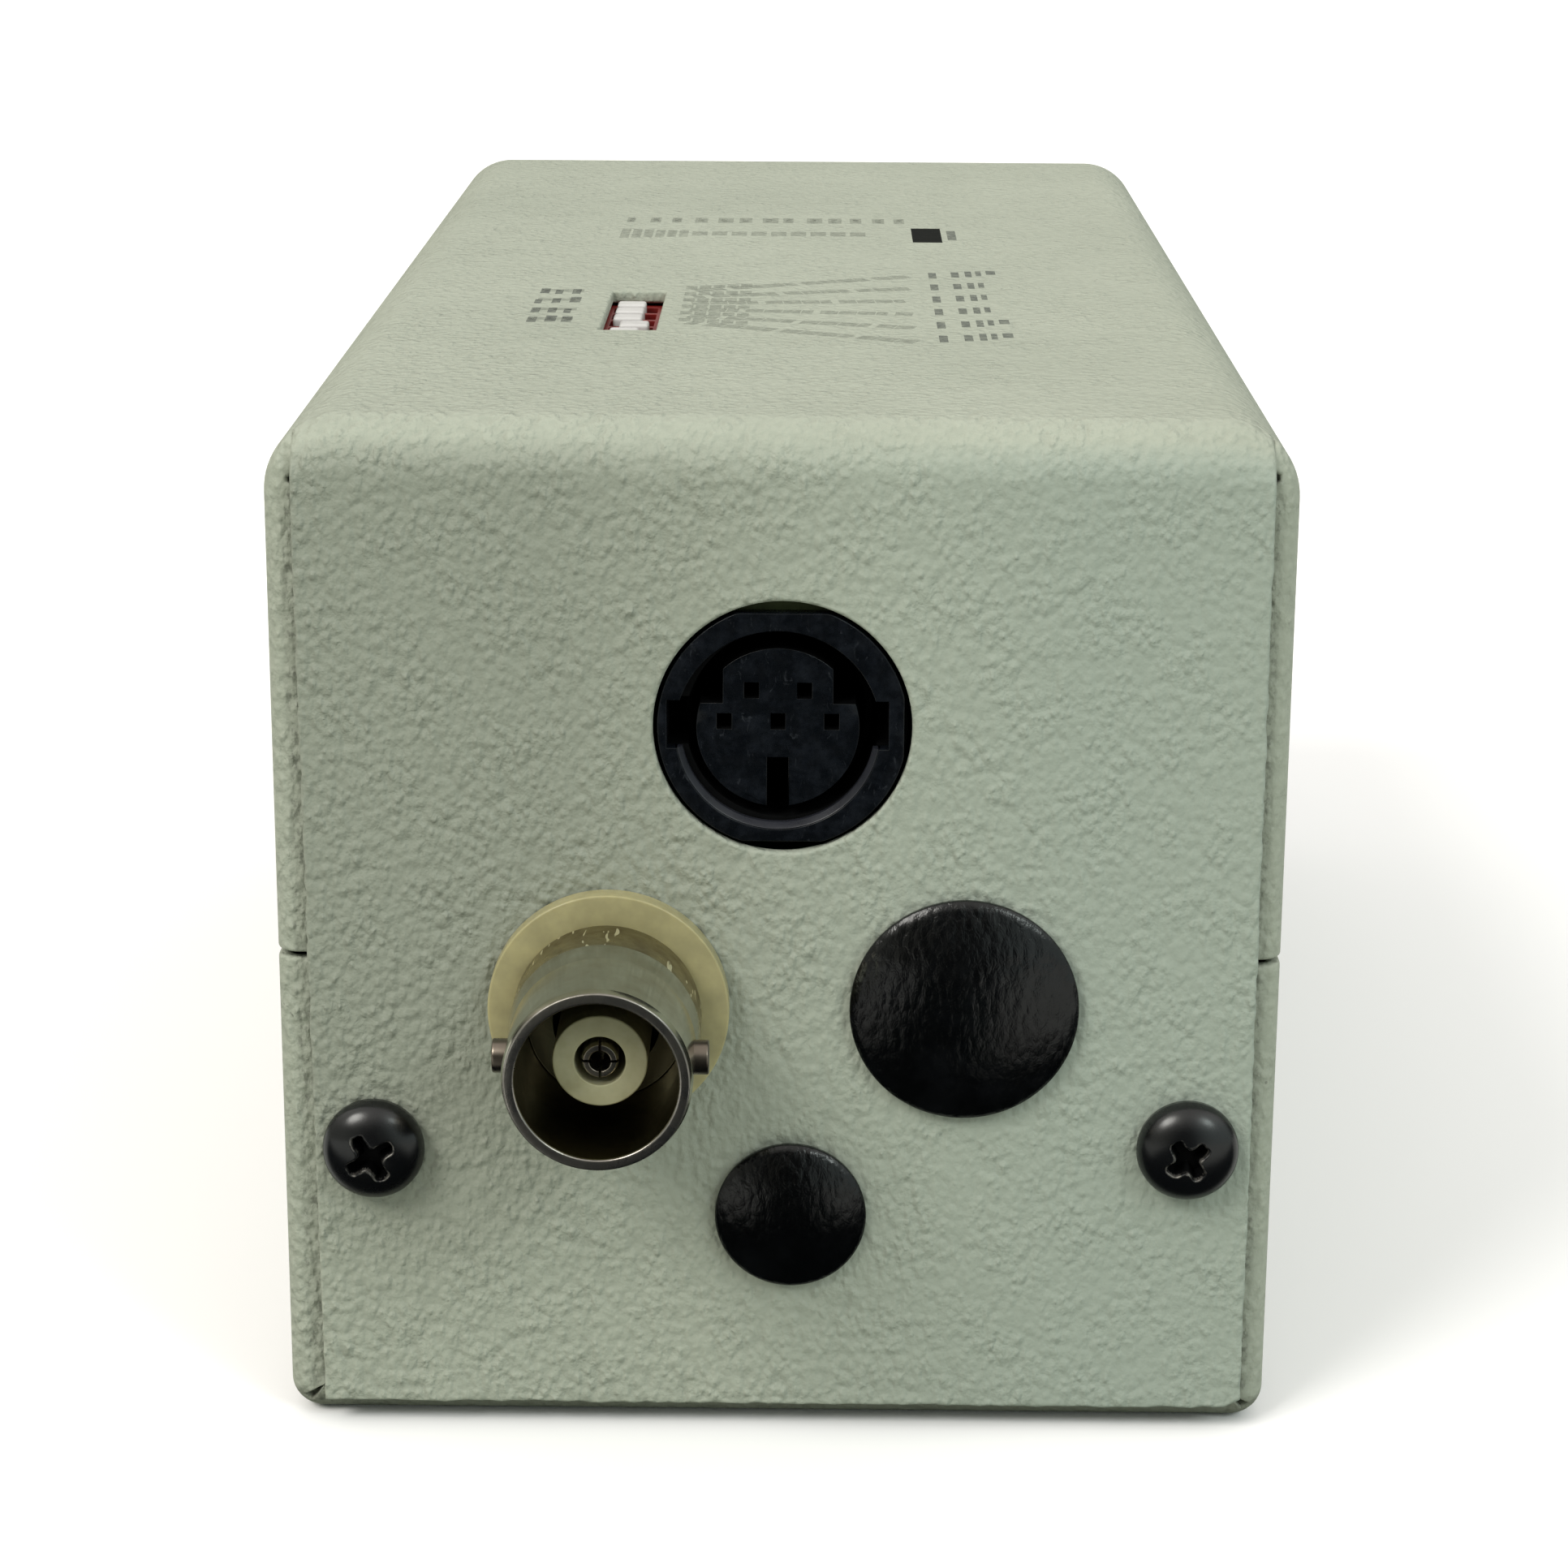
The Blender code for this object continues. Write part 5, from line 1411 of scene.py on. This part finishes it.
def sky():
    """A soft overhead light that fades to a dim room, with a broad glow on each side in front."""
    world = bpy.data.worlds.new("studio")
    world.use_nodes = True
    tree = world.node_tree
    coordinates = tree.nodes.new("ShaderNodeTexCoord")

    def lobe(direction, start, end, low, high, colour):
        dot = tree.nodes.new("ShaderNodeVectorMath")
        dot.operation = "DOT_PRODUCT"
        dot.inputs[1].default_value = Vector(direction).normalized()
        tree.links.new(coordinates.outputs["Generated"], dot.inputs[0])
        fade = tree.nodes.new("ShaderNodeMapRange")
        fade.interpolation_type = "SMOOTHSTEP"
        fade.inputs["From Min"].default_value = start
        fade.inputs["From Max"].default_value = end
        fade.inputs["To Min"].default_value = low
        fade.inputs["To Max"].default_value = high
        tree.links.new(dot.outputs["Value"], fade.inputs["Value"])
        tint = tree.nodes.new("ShaderNodeVectorMath")
        tint.operation = "SCALE"
        tint.inputs[0].default_value = colour
        tree.links.new(fade.outputs["Result"], tint.inputs["Scale"])
        return tint.outputs["Vector"]

    def add(a, b):
        total = tree.nodes.new("ShaderNodeVectorMath")
        tree.links.new(a, total.inputs[0])
        tree.links.new(b, total.inputs[1])
        return total.outputs["Vector"]

    light = lobe((0, 0.12, 1), 0.2, 0.8, 0.03, 1.08, (1.0, 0.97, 0.92))
    light = add(light, lobe((-1, -0.35, 0.45), 0.45, 0.95, 0.0, 0.4, (0.98, 1.0, 0.86)))
    light = add(light, lobe((1, -0.6, 0.4), 0.6, 0.95, 0.0, 0.8, (0.86, 1.0, 0.97)))
    seen = tree.nodes.new("ShaderNodeLightPath")
    mix = tree.nodes.new("ShaderNodeMix")
    mix.data_type = "RGBA"
    tree.links.new(seen.outputs["Is Camera Ray"], mix.inputs["Factor"])
    tree.links.new(light, mix.inputs[6])
    mix.inputs[7].default_value = (1, 1, 1, 1)
    tree.links.new(mix.outputs[2], tree.nodes["Background"].inputs["Color"])
    scene.world = world


def camera():
    """A long lens a little above the back of the case, looking down along it."""
    data = bpy.data.cameras.new("camera")
    data.lens = 87.24
    data.sensor_width = 36
    data.clip_start = 0.01
    obj = bpy.data.objects.new("camera", data)
    pitch, yaw, roll = 0.2785, 0.0095, 0.0056
    turn = Matrix.Rotation(roll, 3, "Z") @ Matrix.Rotation(pitch, 3, "X")
    turn = turn @ Matrix.Rotation(yaw, 3, "Y")
    rows = turn @ Matrix(((1, 0, 0), (0, 0, -1), (0, 1, 0)))
    place = Vector((2.044, -189.514 + REAR_Y, 90.715)) * MM
    basis = Matrix((rows[0], -rows[1], -rows[2])).transposed().to_4x4()
    obj.matrix_world = Matrix.Translation(place) @ basis
    scene.collection.objects.link(obj)
    scene.camera = obj


camera()
stage()
top_cover()
bottom_tray()
bnc_socket()
din_socket()
hole_plug("large_blanking_plug", LARGE_PLUG, LARGE_PLUG_SIZE, "large_hole_plug")
hole_plug("small_blanking_plug", SMALL_PLUG, SMALL_PLUG_SIZE, "small_hole_plug")
for side in REAR_SCREWS:
    rear_screw(side)
dip_switch()
focus_ring()
lens_barrel()
sensor_area()
tripod_bush()
printed_marks()
dress_cad_nodes()
for piece in made:
    even = piece.modifiers.new("weighted_normals", "WEIGHTED_NORMAL")
    even.keep_sharp = True
